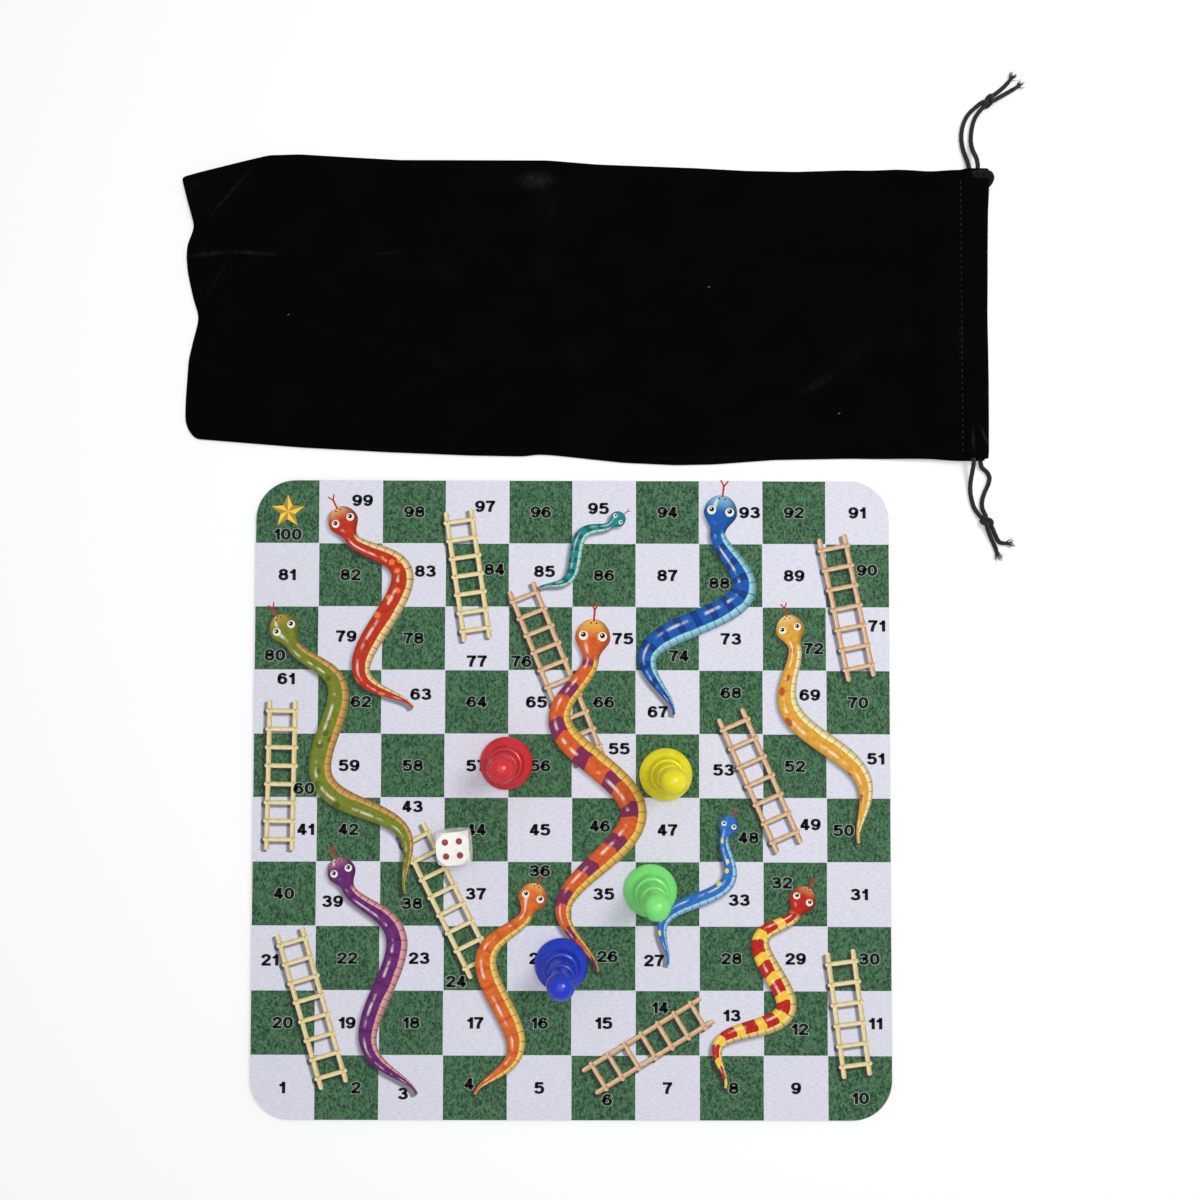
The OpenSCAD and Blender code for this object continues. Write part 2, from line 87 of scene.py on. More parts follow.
# A snake is tail column, tail row, head column, head row, waves, swing in squares and share of the full
# width, then its name, its back, mark and belly colours, its pattern, the pattern's pitch in millimetres and
# its node
SNAKES = (
    (
        (2.5, 6.4, 1.5, 9.1, 1, 0.6, 0.85),
        "red_snake", "#c2361f", "#e8793a", "#f3dc9a", "spots", 5.5, "warm_snakes",
    ),
    (
        (5.4, 2.3, 5.3, 7.2, 1.5, 0.62, 1),
        "ringed_snake", "#d9602b", "#7d2a52", "#efc95e", "bands", 19, "warm_snakes",
    ),
    (
        (9.5, 4.3, 8.5, 7.4, 1, -0.4, 0.8),
        "gold_snake", "#e3a53c", "#b5541f", "#f5ecb4", "spots", 7, "warm_snakes",
    ),
    (
        (3.5, 0.4, 4.3, 3.2, 1, -0.45, 0.8),
        "orange_snake", "#e2702c", "#c23a1c", "#f6d873", "plain", 9, "warm_snakes",
    ),
    (
        (7.4, 0.5, 8.5, 3.2, 1.5, 0.42, 0.75),
        "coral_snake", "#c0281e", "#f0c63c", "#f0dc8c", "bands", 11, "warm_snakes",
    ),
    (
        (6.6, 6.3, 7.3, 9.2, 1, 0.65, 0.95),
        "blue_snake", "#1d5cae", "#0f3a80", "#9fd8e0", "bands", 9, "cool_snakes",
    ),
    (
        (2.4, 3.5, 0.6, 7.4, 1.5, -0.45, 0.85),
        "olive_snake", "#7a862c", "#56651f", "#dba45c", "spots", 6, "cool_snakes",
    ),
    (
        (2.6, 0.4, 1.5, 3.6, 1, 0.5, 0.8),
        "purple_snake", "#6d2b72", "#4a1a55", "#e9a6a0", "plain", 8, "cool_snakes",
    ),
    (
        (6.5, 2.4, 7.4, 4.4, 1, 0.35, 0.55),
        "sky_snake", "#2f72c4", "#e8d84a", "#a8d4ee", "spots", 5, "cool_snakes",
    ),
    (
        (4.5, 8.3, 5.6, 9.3, 1, -0.2, 0.45),
        "teal_snake", "#1f8a8c", "#0d5a66", "#bfe8d0", "bands", 6, "cool_snakes",
    ),
)
SNAKE_W = 13 * MM
TAIL_TIP_W = 1.2 * MM
NECK_SHARE = 0.6
HEAD_W_SHARE = 1.35
HEAD_L_SHARE = 1.5
HEAD_WIDEST_SHARE = 0.5
WAY_SHARE = 0.01
# The share of a snake's net that its body takes, and the net's cells from side to side
BODY_SHARE = 0.84
SNAKE_STEPS_ACROSS = 10

# Where each print lies, counted in lifts of the ink above the cloth
LAYERS = {
    "rail_shadow": 0.4, "rung_shadow": 0.6, "rail": 1, "rung": 1.5, "nail": 2, "snake_shadow": 2.2,
    "snake": 2.5, "tongue": 3, "eye": 3.5, "pupil": 4.5, "glint": 5.5, "halo": 3.5, "number": 4.5,
}
DOT_T = 0.02 * MM
DOT_SIDES = 20
TONGUE_T = 0.05 * MM
# A printed bar's ends are cut round by this share of its width, in this many steps
BAR_ROUND_SHARE = 0.48
BAR_ROUND_STEPS = 5
# A ladder's rails and rungs run this far past each other, its shadow falls this far to the side and is this
# much wider, and its nails sit this far up from the rungs' middles
LADDER_OVERRUN = 0.9 * MM
LADDER_SHADOW_FALL = Vector((-1.3, -1.1)) * MM
LADDER_SHADOW_SHARE = 1.9
NAIL_RISE = 0.3 * MM
SNAKE_SHADOW_FALL = (-1.5 * MM, -1.3 * MM)
TONGUE_MIN_W = 0.5 * MM
# A snake's face, places as the head's own shares along and across, sizes as shares of the body's half width:
# eyes, pupils and glints a little ahead of the eyes' middles, nostrils, and the tongue with its prongs
EYE_PLACE, EYE_R_SHARE = (0.56, 0.55), 0.36
PUPIL_AHEAD, PUPIL_R_SHARE = 0.08, 0.2
GLINT_AHEAD, GLINT_ASIDE, GLINT_R_SHARE = 0.14, 0.07, 0.06
NOSTRIL_PLACE, NOSTRIL_R_SHARE = (0.9, 0.17), 0.07
TONGUE_ROOT, TONGUE_FORK, TONGUE_W_SHARE = 0.94, 1.26, 0.16
PRONG_L_SHARE, PRONG_SPREAD = 0.45, 0.7
# A prong's width and its overlap with the stem, as shares of the tongue's width
PRONG_W_SHARE, PRONG_LAP_SHARE = 0.8, 0.3
# Round samples of an outline along a body and along a head
BODY_SAMPLES, HEAD_SAMPLES = 60, 8

# The pouch, from the frame's hems and the same outline as its solids
HEM_LOW, HEM_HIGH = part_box("pouch_front_casing")
BACK_HEM_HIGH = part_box("pouch_back_casing")[1]
STITCH_X, MOUTH_X = HEM_LOW.x, HEM_HIGH.x
LOWER_SEAM, UPPER_SEAM = HEM_LOW.y, HEM_HIGH.y
POUCH_L = 405 * MM
POUCH_W = 147 * MM
POUCH_X = MOUTH_X - POUCH_L
POUCH_Y = CLOTH_HIGH.y + 13 * MM
LOWER_EDGE = (
    (0, 0.056), (0.14, 0.027), (0.25, 0.012), (0.36, 0.001), (0.43, -0.002), (0.45, 0.005), (0.47, 0.002),
    (0.56, -0.023), (0.63, -0.031), (0.68, -0.028), (0.76, -0.012), (0.86, -0.007), (0.97, -0.011),
    (1, -0.0136),
)
UPPER_EDGE = (
    (0, 0.969), (0.023, 0.987), (0.062, 1.014), (0.087, 1.031), (0.119, 1.052), (0.151, 1.055),
    (0.216, 1.045), (0.28, 1.036), (0.408, 1.036), (0.472, 1.036), (0.537, 1.022), (0.665, 1.01),
    (0.729, 1.001), (0.793, 0.998), (0.857, 1.004), (0.922, 1.002), (0.973, 0.99), (1, 0.9864),
)
CLOSED_EDGE = (
    (0, 0.008), (0.03, -0.001), (0.07, -0.005), (0.15, -0.0045), (0.3, -0.0015), (0.375, 0.004),
    (0.433, 0.009), (0.471, 0.0105), (0.529, 0.004), (0.586, -0.0005), (0.644, -0.0045), (0.7, -0.0055),
    (0.739, -0.0055), (0.778, -0.0005), (0.816, 0.004), (0.854, 0.0005), (0.912, -0.005), (1, -0.0125),
)
# How far the hem stands out at its mouth, as shares of its depth, from the lower to the upper seam
HEM_SHARES = ((0, 0.95), (0.25, 0.97), (0.5, 0.945), (0.7, 0.975), (0.85, 1), (0.93, 1.05), (1, 1.06))

# Near the hem: where a panel's seams rise and sink again and its middle climbs, each as a start and a span in
# shares of the length, and where its middle puffs up behind the closed end
SEAM_RISE = 2.2 * MM
RISE_SHARES, SINK_SHARES, CLIMB_SHARES = (0.88, 0.07), (0.955, 0.045), (0.9, 0.1)
PUFF_SHARE = 0.1
# How far the front panel's seams lie lower and the back panel's higher than flat cloth would
FRONT_TUCK, BACK_TUCK = -0.25 * MM, 0.28 * MM
# A hem eases away from its stitches over this length, and waves a little beyond the next one
HEM_EASE = 2.4 * MM
HEM_WAVE_EASE, HEM_WAVE_H = 4 * MM, 0.14 * MM
HEM_WAVES_X, HEM_WAVES_Y, FRONT_SEED, BACK_SEED = 90, 60, 3.0, 9.0
# A layer's thickness at its cut edges, as a share of its full one
CUT_EDGE_SHARE = 0.35
# The folded corner: its line, its reach past it, its softness and height, and where it fades out
FOLD_START, FOLD_END = Vector((-159.4, 321.6)) * MM, Vector((-185.8, 293.4)) * MM
FOLD_REACH, FOLD_SOFTNESS, FOLD_H = 0.6 * MM, 1.4 * MM, 1.1 * MM
FOLD_FADE_Y, FOLD_FADE = 0.287, 0.008
# The crease below it: a point on it, its slope, half width and height, and where it fades out
CREASE_X, CREASE_Y, CREASE_SLOPE = -0.17, 0.2745, 0.02
CREASE_HALF_W, CREASE_H = 1.3 * MM, 0.8 * MM
CREASE_FADE_X, CREASE_FADE = -0.142, 0.03
# Stitches: the row's margins, its place past the hem's line, and one stitch's dive along its half length
STITCH_MARGINS, STITCH_START, STITCH_PAST = 6 * MM, 4 * MM, 0.1 * MM
STITCH_SHARES = (-1, -0.8, -0.5, 0, 0.5, 0.8, 1)
STITCH_TOP_SHARE, STITCH_DIVE_SHARE = 0.38, 0.75
# The turned-over upper end of the front hem, counted in millimetres from the corner of the mouth
ROLL = (
    (-9, -3.1, 8), (-6.3, -3.2, 8.1), (-3.3, -3.1, 7.9), (-0.6, -3.2, 7.2), (0.7, -4.4, 6.6),
    (0.3, -6.8, 6.2), (-1.4, -9.4, 6.4),
)
ROLL_R, ROLL_STEP = 2.3 * MM, 0.5 * MM
# Shares of that radius: at the start, gained over a first span and lost over a last one, each span a start
# and a length; then the roll's unevenness as axis, height and waves
ROLL_START_SHARE, ROLL_SWELL_SHARE, ROLL_SWELL_SPAN = 0.72, 0.38, (0, 0.3)
ROLL_TAPER_SHARE, ROLL_TAPER_SPAN = 0.7, (0.62, 0.38)
ROLL_BUMPS = ((2, 0.35 * MM, 420), (1, 0.3 * MM, 300))
# Specks of lint: x, y and half length in millimetres
LINT = ((-145, 245, 0.35), (69.4, 259.9, 0.42), (135.5, 195, 0.5))
LINT_R, LINT_RISE, LINT_SLOPE = 0.17 * MM, 0.1 * MM, 0.3
# Painted sheen of the pile along its creases, its folded corner and its hem, in one table with brushed pile
# For each mark: x, y, half length and half width in millimetres, turn in degrees, strength
SHEEN_AND_BRUSHED = (
    (-19, 315, 13, 6.5, 2, 0.85), (-14.5, 303, 12, 13, 0, 0.14), (-14.8, 269.7, 10, 13, 0, 0.09),
    (-65.2, 266.3, 15, 9, -20, 0.08), (-66.9, 220.8, 14, 6, -35, 0.08), (1.6, 224.6, 14, 5, -52, 0.09),
    (124.7, 210.3, 15, 3.5, 31, 0.24), (145.8, 227, 20, 7, 38, 0.09), (171.8, 234.3, 8, 7, 0, 0.08),
    (-186.8, 275.9, 13, 1.8, 8, 0.7), (-163.2, 276.8, 20, 1.6, -3, 0.55), (-93.7, 277, 13, 1.2, 6, 0.2),
    (-183.1, 261.3, 16, 1.5, 60, 0.2), (-175.2, 307.4, 24, 1.4, 49, 0.45), (-193.4, 311.5, 7, 5, 40, 0.15),
    (195.7, 231, 19, 3, 90, 0.1), (208.7, 206.7, 15, 1.8, 88, 0.15), (72.1, 172.4, 40, 1.6, 1, 0.12),
    (200.7, 180, 8, 1.1, 90, 0.9), (206.5, 181.5, 8, 1.3, 113, 0.8),
)
# The cloth simulation: its settings, and the cloth that it holds, as shares from the stitches and the edges
CLOTH = {
    "quality": 4, "mass": 0.15, "tension_stiffness": 8, "compression_stiffness": 8, "bending_stiffness": 0.3,
    "use_pressure": True, "vertex_group_mass": "sewn",
}
CLOTH_GRAVITY = 0.4
HELD_BY_HEM, HELD_BY_END, HELD_BY_SEAM = 0.03, 0.008, 0.01

# Drawstrings: each free strand's exit, as seam, distance in from the mouth and height, and its route from
# there to its knot, in millimetres
FRONT_STRING_Z = (HEM_LOW.z + HEM_HIGH.z) / 2
BACK_STRING_Z = BACK_HEM_HIGH.z / 2
STRANDS = {
    "upper_strand_left": (UPPER_SEAM, 7.5, BACK_STRING_Z, (
        (0, 3, 2.1), (-0.7, 7, 1.6), (-1.9, 11, 1.2), (-3, 15, 1.1), (-3.5, 19.5, 1.1), (-3.1, 24, 1.1),
        (-1.7, 28.5, 1.1), (0.9, 32.6, 1.2), (5.7, 36.8, 2),
    )),
    "upper_strand_right": (UPPER_SEAM, 5, FRONT_STRING_Z, (
        (0, 3, 6.6), (-0.2, 7, 5.4), (-0.8, 11.5, 3.1), (-1.1, 16, 1.5), (-1.1, 20, 1.1), (-0.6, 24, 1.1),
        (0.4, 28, 1.1), (2, 31.4, 1.4), (4.6, 34.6, 2.4),
    )),
    "lower_strand_left": (LOWER_SEAM, 8.4, FRONT_STRING_Z, (
        (0, -3, 6.6), (0, -7, 4.6), (0.1, -11.5, 2.2), (0.4, -16, 1.2), (1.1, -20, 1.1), (2.3, -24, 1.1),
        (4.8, -28.4, 2),
    )),
    "lower_strand_right": (LOWER_SEAM, 3, BACK_STRING_Z, (
        (0, -1.6, 2.1), (1, -3.8, 1.6), (3.3, -5.6, 1.2), (4.8, -8.4, 1.1), (4.2, -12, 1.1), (2.4, -16, 1.1),
        (1.1, -20, 1.1), (0.9, -24, 1.4), (1.9, -27.6, 2.2),
    )),
}
# Tails past each knot, and each knot's place and turn in degrees, counted from the corner of the mouth
TAILS = {
    "upper": (
        ((4.2, 40.4, 2.4), (7.5, 43, 1.7), (11.5, 46.6, 1.1), (15.6, 51.2, 1.1)),
        ((5.4, 38.4, 2.4), (9.5, 41, 1.7), (14, 43.8, 1.1), (19, 46.8, 1.1)),
    ),
    "lower": (
        ((2.2, -33.6, 2.3), (4.6, -38.4, 1.4), (6.8, -41.6, 1.1), (11.6, -42.2, 1.1)),
        ((0, -34.6, 2.3), (2.3, -39.6, 1.4), (4.2, -43.6, 1.1), (5.8, -48.4, 1.1)),
    ),
}
KNOTS = {"upper": (1.8, 37.6, 31), "lower": (-0.6, -31, -62)}
ROUTE_STEP = 0.7 * MM
# A string's section: its sides, its plies, and how they rise over its radius, as shares
STRING_SIDES = 24
PLIES, PLY_LOW_SHARE, PLY_RISE_SHARE = 3, 0.965, 0.06
# A string on the table keeps its middle this many radii up, and a knot's loops stay a little higher
REST_SHARE, KNOT_REST_SHARE = 1.03, 1.05
# A knot's steps, how far its two strings lie apart along it and across it, and its leads' ends and size
KNOT_STEPS = 72
KNOT_LAG, KNOT_SPREAD_SHARE = 0.2, 0.12
LEAD_INNER_SHARE, LEAD_OUTER, LEAD_STEPS, LEAD_R_SHARE = 0.2, 0.3 * MM, 6, 0.97
# A held run stops short of the far seam by this share of its length, and has this many steps
HELD_STOP_SHARE = 0.0136
HELD_STEPS = 120
# A tail thins towards its end by this share, over a span given as its start and its length
TAIL_THINS_SHARE, TAIL_THIN_SPAN = 0.3, (2.3 / 3.3, 1 / 3.3)
# Loose fibres: their lowest place, the step of their routes, how far they start from the string's middle and
# how far along they bend and thin, as shares
FIBRE_REST, FIBRE_STEP = 0.25 * MM, 0.8 * MM
FIBRE_OUT_SHARE, FIBRE_UP_SHARE, FIBRE_BEND_SHARE, FIBRE_THINS_SHARE = 0.6, 0.5, 0.55, 0.6
# Their ranges: place aside and above, start before the tail's end, how far they fan out, share of the fray's
# length, rise, bend and radius
ASIDE_RANGE, ABOVE_RANGE, START_RANGE, FAN_RANGE = (-1, 1), (-0.8, 0.9), (0.4, 2.2), (0.3, 0.9)
FRAY_RANGE, RISE_RANGE, BEND_RANGE, RADIUS_RANGE = (0.55, 1.1), (-0.8, 0.6), (-0.5, 0.5), (0.12, 0.24)

# A pawn's profile from the top of its hollow round the foot to the neck: radius and height in millimetres
PAWN_HOLLOW = (
    (0, 30), (2.3, 30), (4.1, 21.8), (4.9, 21.8), (5.8, 9.8), (6.7, 9.8), (7.9, 3.2), (10.4, 1.4), (10.6, 0),
)
PAWN_WALL = (
    (12.5, 0), (13.1, 0.4), (13.3, 1.2), (13.1, 2.1), (12.4, 3.1), (11.4, 4.1), (10.4, 4.9), (9.7, 5.4),
    (9.25, 6.1), (8.95, 7.3), (8.6, 9.9), (8.6, 10.7), (8.2, 11.3), (7.6, 11.45), (7.2, 11.9), (6.95, 13.6),
    (6.6, 21.9), (6.65, 22.6), (6.3, 23.25), (5.8, 23.4), (5.4, 24), (4.9, 26.4), (4.2, 29.7), (3.9, 31.3),
)
PAWN_HEAD_R = 6.7
PAWN_STEPS_ROUND = 96
PAWN_HEAD_STEPS = 32
PAWN_WALL_STEP = 0.35 * MM
PAWN_MERGE = 0.001 * MM

# Each digit's strokes, straight, bowed or closed to a ring, through points in a box one wide and one high
DIGITS = {
    "0": (
        (
            "ring", (0.5, 1), (0.12, 0.86), (0, 0.5), (0.12, 0.14), (0.5, 0), (0.88, 0.14), (1, 0.5),
            (0.88, 0.86),
        ),
    ),
    "1": (("line", (0.7, -0.12), (0.7, 1.12)), ("line", (0.72, 0.93), (0.12, 0.68))),
    "2": (
        (
            "bow", (0, 0.68), (0.1, 0.9), (0.5, 1), (0.92, 0.88), (0.93, 0.66), (0.6, 0.42), (0.22, 0.2),
            (0.05, 0),
        ),
        ("line", (-0.2, 0), (1.2, 0)),
    ),
    "3": (
        ("bow", (0, 0.8), (0.18, 0.96), (0.5, 1), (0.86, 0.92), (0.88, 0.68), (0.7, 0.56), (0.35, 0.53)),
        ("bow", (0.35, 0.53), (0.75, 0.5), (1, 0.3), (0.9, 0.08), (0.5, 0), (0.13, 0.05), (-0.05, 0.22)),
    ),
    "4": (
        ("line", (0.7, -0.12), (0.7, 1.12)), ("line", (-0.2, 0.24), (1.2, 0.24)),
        ("line", (0.62, 1.05), (-0.02, 0.27)),
    ),
    "5": (
        ("line", (0, 1), (1.1, 1)), ("line", (0.12, 1.05), (0.04, 0.48)),
        (
            "bow", (0.02, 0.5), (0.25, 0.61), (0.6, 0.64), (0.93, 0.52), (1, 0.3), (0.88, 0.08), (0.5, 0),
            (0.12, 0.04), (-0.05, 0.2),
        ),
    ),
    "6": (
        ("bow", (0.97, 0.8), (0.8, 0.96), (0.5, 1), (0.14, 0.86), (0, 0.5), (0.02, 0.3)),
        (
            "ring", (0.5, 0.62), (0.12, 0.53), (0, 0.31), (0.12, 0.09), (0.5, 0), (0.88, 0.09), (1, 0.31),
            (0.88, 0.53),
        ),
    ),
    "7": (("line", (-0.2, 1), (1.2, 1)), ("bow", (1.04, 1.02), (0.68, 0.64), (0.46, 0.25), (0.4, -0.12))),
    "8": (
        (
            "ring", (0.5, 1), (0.16, 0.94), (0.06, 0.77), (0.2, 0.59), (0.5, 0.54), (0.8, 0.59), (0.94, 0.77),
            (0.84, 0.94),
        ),
        (
            "ring", (0.5, 0.54), (0.1, 0.46), (0, 0.27), (0.12, 0.08), (0.5, 0), (0.88, 0.08), (1, 0.27),
            (0.9, 0.46),
        ),
    ),
}
# A nine is a six turned upside down
DIGITS["9"] = tuple((kind, *((1 - x, 1 - y) for x, y in points)) for kind, *points in DIGITS["6"])
DIGIT_T = 0.02 * MM
DIGIT_STEP = 0.5 * MM
# A number's places to try: their reach from the middle of its square, as a share, and how many on each side;
# then its least distances from the square's edge, the mat's rim and the shapes printed round it
SEARCH_SHARE, SEARCH_STEPS = 0.39, 27
SQUARE_GAP, RIM_GAP, SHAPE_GAP = 0.8 * MM, 1.5 * MM, 0.7 * MM

# The stage: a floor just under the set, which glows more from one distance from the middle to the next, and
# lamps, each with its place, target, size and share of the lamps' power
FLOOR_W, FLOOR_DROP = 8, 0.2 * MM
FLOOR_GLOW_SHARE, GLOW_START, GLOW_END = 0.35, 0.45, 1.2
LAMPS = (
    ("overhead_lamp", (0.05, 0.16, 1.25), (0.02, 0.08, 0), 1.2, 0.6),
    ("side_lamp", (0.42, 0.3, 0.95), (0.02, 0.05, 0), 0.3, 0.42),
)
SENSOR_W = 36
CLIP_START = 0.01
SKY = (0.97, 0.985, 1.0, 1)


def colour(code):
    """A colour written as in a style sheet, as Blender's linear red, green, blue and alpha."""
    parts = [int(code[i:i + 2], 16) / 255 for i in (1, 3, 5)]
    return tuple(p / 12.92 if p <= 0.04045 else ((p + 0.055) / 1.055) ** 2.4 for p in parts) + (1,)


def shaded(shade, share):
    """A colour, darker or lighter by a share."""
    return tuple(min(1.0, c * share) for c in shade[:3]) + (1,)


def smooth(t):
    t = max(0.0, min(1.0, t))
    return t * t * (3 - 2 * t)


def ramp(at, span):
    """Smooth from 0 to 1 over a span, given as its start and its length."""
    return smooth((at - span[0]) / span[1])


def read_off(shares, at):
    """Straight-line reading of a table of shares."""
    return float(np.interp(at, [s[0] for s in shares], [s[1] for s in shares]))


# Selecting, applying and naming


def take(piece):
    """Makes one object the only selected one and the active one."""
    if bpy.context.object and bpy.context.object.mode != "OBJECT":
        bpy.ops.object.mode_set(mode="OBJECT")
    bpy.ops.object.select_all(action="DESELECT")
    piece.select_set(True)
    bpy.context.view_layer.objects.active = piece


@contextmanager
def editing(piece, action="SELECT"):
    """Edit mode on a piece, with all of its mesh selected or none of it."""
    take(piece)
    bpy.ops.object.mode_set(mode="EDIT")
    bpy.ops.mesh.select_all(action=action)
    yield
    bpy.ops.object.mode_set(mode="OBJECT")


def made(name):
    """The object that an operator has just added, under its name."""
    piece = bpy.context.object
    piece.name = piece.data.name = name
    return piece


def finish_with(piece, kind, **settings):
    """Adds a modifier with these settings and applies it."""
    take(piece)
    bpy.ops.object.modifier_add(type=kind)
    modifier = piece.modifiers[-1]
    for key, value in settings.items():
        setattr(modifier, key, value)
    bpy.ops.object.modifier_apply(modifier=modifier.name)
    return piece


def settle(piece):
    """Puts an object's place, turn and scale into its mesh."""
    take(piece)
    bpy.ops.object.transform_apply(location=True, rotation=True, scale=True)
    return piece


def joined(pieces, name):
    """One object from several, with their places in its mesh."""
    take(pieces[0])
    for piece in pieces:
        piece.select_set(True)
    if len(pieces) > 1:
        bpy.ops.object.join()
    return settle(made(name))


def copy_at(master, place):
    """A copy of an object, with a mesh of its own, at a matrix."""
    piece = master.copy()
    piece.data = master.data.copy()
    bpy.context.collection.objects.link(piece)
    piece.matrix_world = place
    return piece


def copies(master, places, name):
    """One object from copies of a master, one at each of these matrices; the master goes."""
    pieces = [copy_at(master, place) for place in places]
    bpy.data.objects.remove(master)
    return joined(pieces, name)


def smoothed(piece, degrees=40):
    take(piece)
    bpy.ops.object.shade_smooth_by_angle(angle=math.radians(degrees))
    return piece


def dress(piece, material, body=None, replaces=()):
    """Gives a piece its finish, its body and the nodes that it stands for."""
    if not piece.material_slots:
        piece.data.materials.append(material)
    for holder in piece.material_slots:
        holder.material = material
    if body:
        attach(piece, body)
    if replaces:
        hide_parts(*replaces)
    return piece


# Materials


class Finish:
    """A material under construction: its nodes are added one at a time and read like sums."""

    def __init__(self, name, roughness, specular=0.5):
        self.material = bpy.data.materials.new(name)
        self.material.use_nodes = True
        self.tree = self.material.node_tree
        self.surface = self.tree.nodes["Principled BSDF"]
        self.set("Roughness", roughness)
        self.set("Specular IOR Level", specular)

    def set(self, socket, value):
        self.feed(self.surface.inputs[socket], value)
        return self

    def feed(self, socket, value):
        if isinstance(value, bpy.types.NodeSocket):
            self.tree.links.new(value, socket)
        else:
            socket.default_value = value

    def node(self, kind, settings, inputs):
        node = self.tree.nodes.new("ShaderNode" + kind)
        for key, value in settings.items():
            setattr(node, key, value)
        for key, value in inputs.items():
            self.feed(node.inputs[key], value)
        return node

    def mapped(self, source, kind="POINT", **settings):
        """A source's coordinates, moved, turned and stretched."""
        node = self.node("Mapping", {"vector_type": kind}, {"Vector": source, **settings})
        return node.outputs["Vector"]

    def place(self, scale=(1, 1, 1), at=(0, 0, 0)):
        """Object coordinates, in metres from a point, stretched."""
        source = self.node("TexCoord", {}, {}).outputs["Object"]
        return self.mapped(source, Scale=scale, Location=tuple(-a * s for a, s in zip(at, scale)))

    def surface_map(self, scale=(1, 1, 1)):
        """The piece's own map."""
        return self.mapped(self.node("UVMap", {"uv_map": "UVMap"}, {}).outputs["UV"], Scale=scale)

    def noise(self, vector, scale, detail=2.0, roughness=0.5, distortion=0.0):
        inputs = {"Vector": vector, "Scale": scale, "Detail": detail, "Roughness": roughness}
        return self.node("TexNoise", {}, {**inputs, "Distortion": distortion}).outputs["Fac"]

    def cells(self, vector, scale, randomness=1.0):
        inputs = {"Vector": vector, "Scale": scale, "Randomness": randomness}
        return self.node("TexVoronoi", {}, inputs).outputs["Distance"]

    def wave(self, vector, scale, direction, distortion):
        inputs = {"Vector": vector, "Scale": scale, "Distortion": distortion}
        return self.node("TexWave", {"bands_direction": direction}, inputs).outputs["Fac"]

    def sum(self, kind, a, b=0.0, clamp=False):
        return self.node("Math", {"operation": kind, "use_clamp": clamp}, {0: a, 1: b}).outputs[0]

    def times(self, a, b):
        return self.sum("MULTIPLY", a, b)

    def plus(self, a, b):
        return self.sum("ADD", a, b)

    def apart(self, a, b=0.0):
        """How far a value lies from another."""
        return self.sum("ABSOLUTE", self.sum("SUBTRACT", a, b))

    def ripple(self, value, pitch):
        """A sine of this pitch along a value."""
        return self.sum("SINE", self.times(value, 2 * math.pi / pitch))

    def reach(self, vector):
        """A vector's length."""
        return self.node("VectorMath", {"operation": "LENGTH"}, {0: vector}).outputs["Value"]

    def part(self, vector, axis):
        return self.node("SeparateXYZ", {}, {"Vector": vector}).outputs[axis]

    def step(self, value, low, high):
        """0 at low and 1 at high, smooth between them; low may be the larger one."""
        inputs = {"Value": value, "From Min": low, "From Max": high, "To Min": 0.0, "To Max": 1.0}
        return self.node("MapRange", {"interpolation_type": "SMOOTHSTEP"}, inputs).outputs["Result"]

    def mix(self, share, a, b, kind="MIX"):
        settings = {"data_type": "RGBA", "blend_type": kind}
        return self.node("Mix", settings, {"Factor": share, 6: a, 7: b}).outputs[2]

    def lay(self, mask, share, over, under):
        """Lays one colour over another through a mask, at most by this share."""
        return self.mix(self.times(mask, share), under, over)

    def blend(self, share, first, second):
        """A shader between two others."""
        return self.node("MixShader", {}, {0: share, 1: first.outputs[0], 2: second.outputs[0]})

    def bump(self, height, distance, strength=1.0):
        """Adds relief of this depth, in metres, over any relief that the surface has."""
        node = self.node("Bump", {}, {"Height": height, "Distance": distance, "Strength": strength})
        under = self.surface.inputs["Normal"]
        if under.links:
            self.feed(node.inputs["Normal"], under.links[0].from_socket)
        self.feed(under, node.outputs["Normal"])
        return self

    def streak(self, x, y, half_length, half_width, degrees):
        """1 at the middle of a long soft mark on the table's plane and 0 at its rim."""
        source = self.node("TexCoord", {}, {}).outputs["Object"]
        turn = 0, 0, math.radians(degrees)
        size = half_length, half_width, 1
        oval = self.mapped(source, "TEXTURE", Location=(x, y, 0), Rotation=turn, Scale=size)
        return self.step(self.reach(oval), 1.0, 0.0)

    def weave(self, pitch, depth):
        """Crossed threads, with slubs, over the whole surface."""
        place = self.place()
        # At a scale of one the texture's waves are a tenth of pi apart
        scale = math.pi / 10 / pitch
        warp = self.wave(place, scale, "X", 0.6)
        weft = self.wave(place, scale, "Y", 0.6)
        slub = self.noise(place, 0.3 / pitch, 3)
        return self.bump(self.times(self.sum("MAXIMUM", warp, weft), slub), depth)


def printed(name, settings, ink):
    """A dye printed on the woven face; ink is a function that adds its colour to the finish."""
    finish = Finish(name, 0.86, 0.22)
    place = finish.place()
    fade = finish.step(finish.noise(place, 900, 3, 0.6), 0.25, 0.8)
    tone = finish.lay(fade, 0.3, (0.72, 0.72, 0.74, 1), (1, 1, 1, 1))
    finish.set("Base Color", finish.mix(1.0, ink(finish), tone, "MULTIPLY"))
    finish.weave(settings.thread_pitch, settings.thread_depth)
    return finish.material


def plain_ink(shade):
    return lambda finish: finish.mix(finish.noise(finish.place(), 300, 3), shade, shaded(shade, 0.86))


# The board's print


def on_board(column, row):
    return Vector((column * SQUARE + CLOTH_LOW.x, row * SQUARE + CLOTH_LOW.y))


def turned(v):
    return Vector((-v.y, v.x))


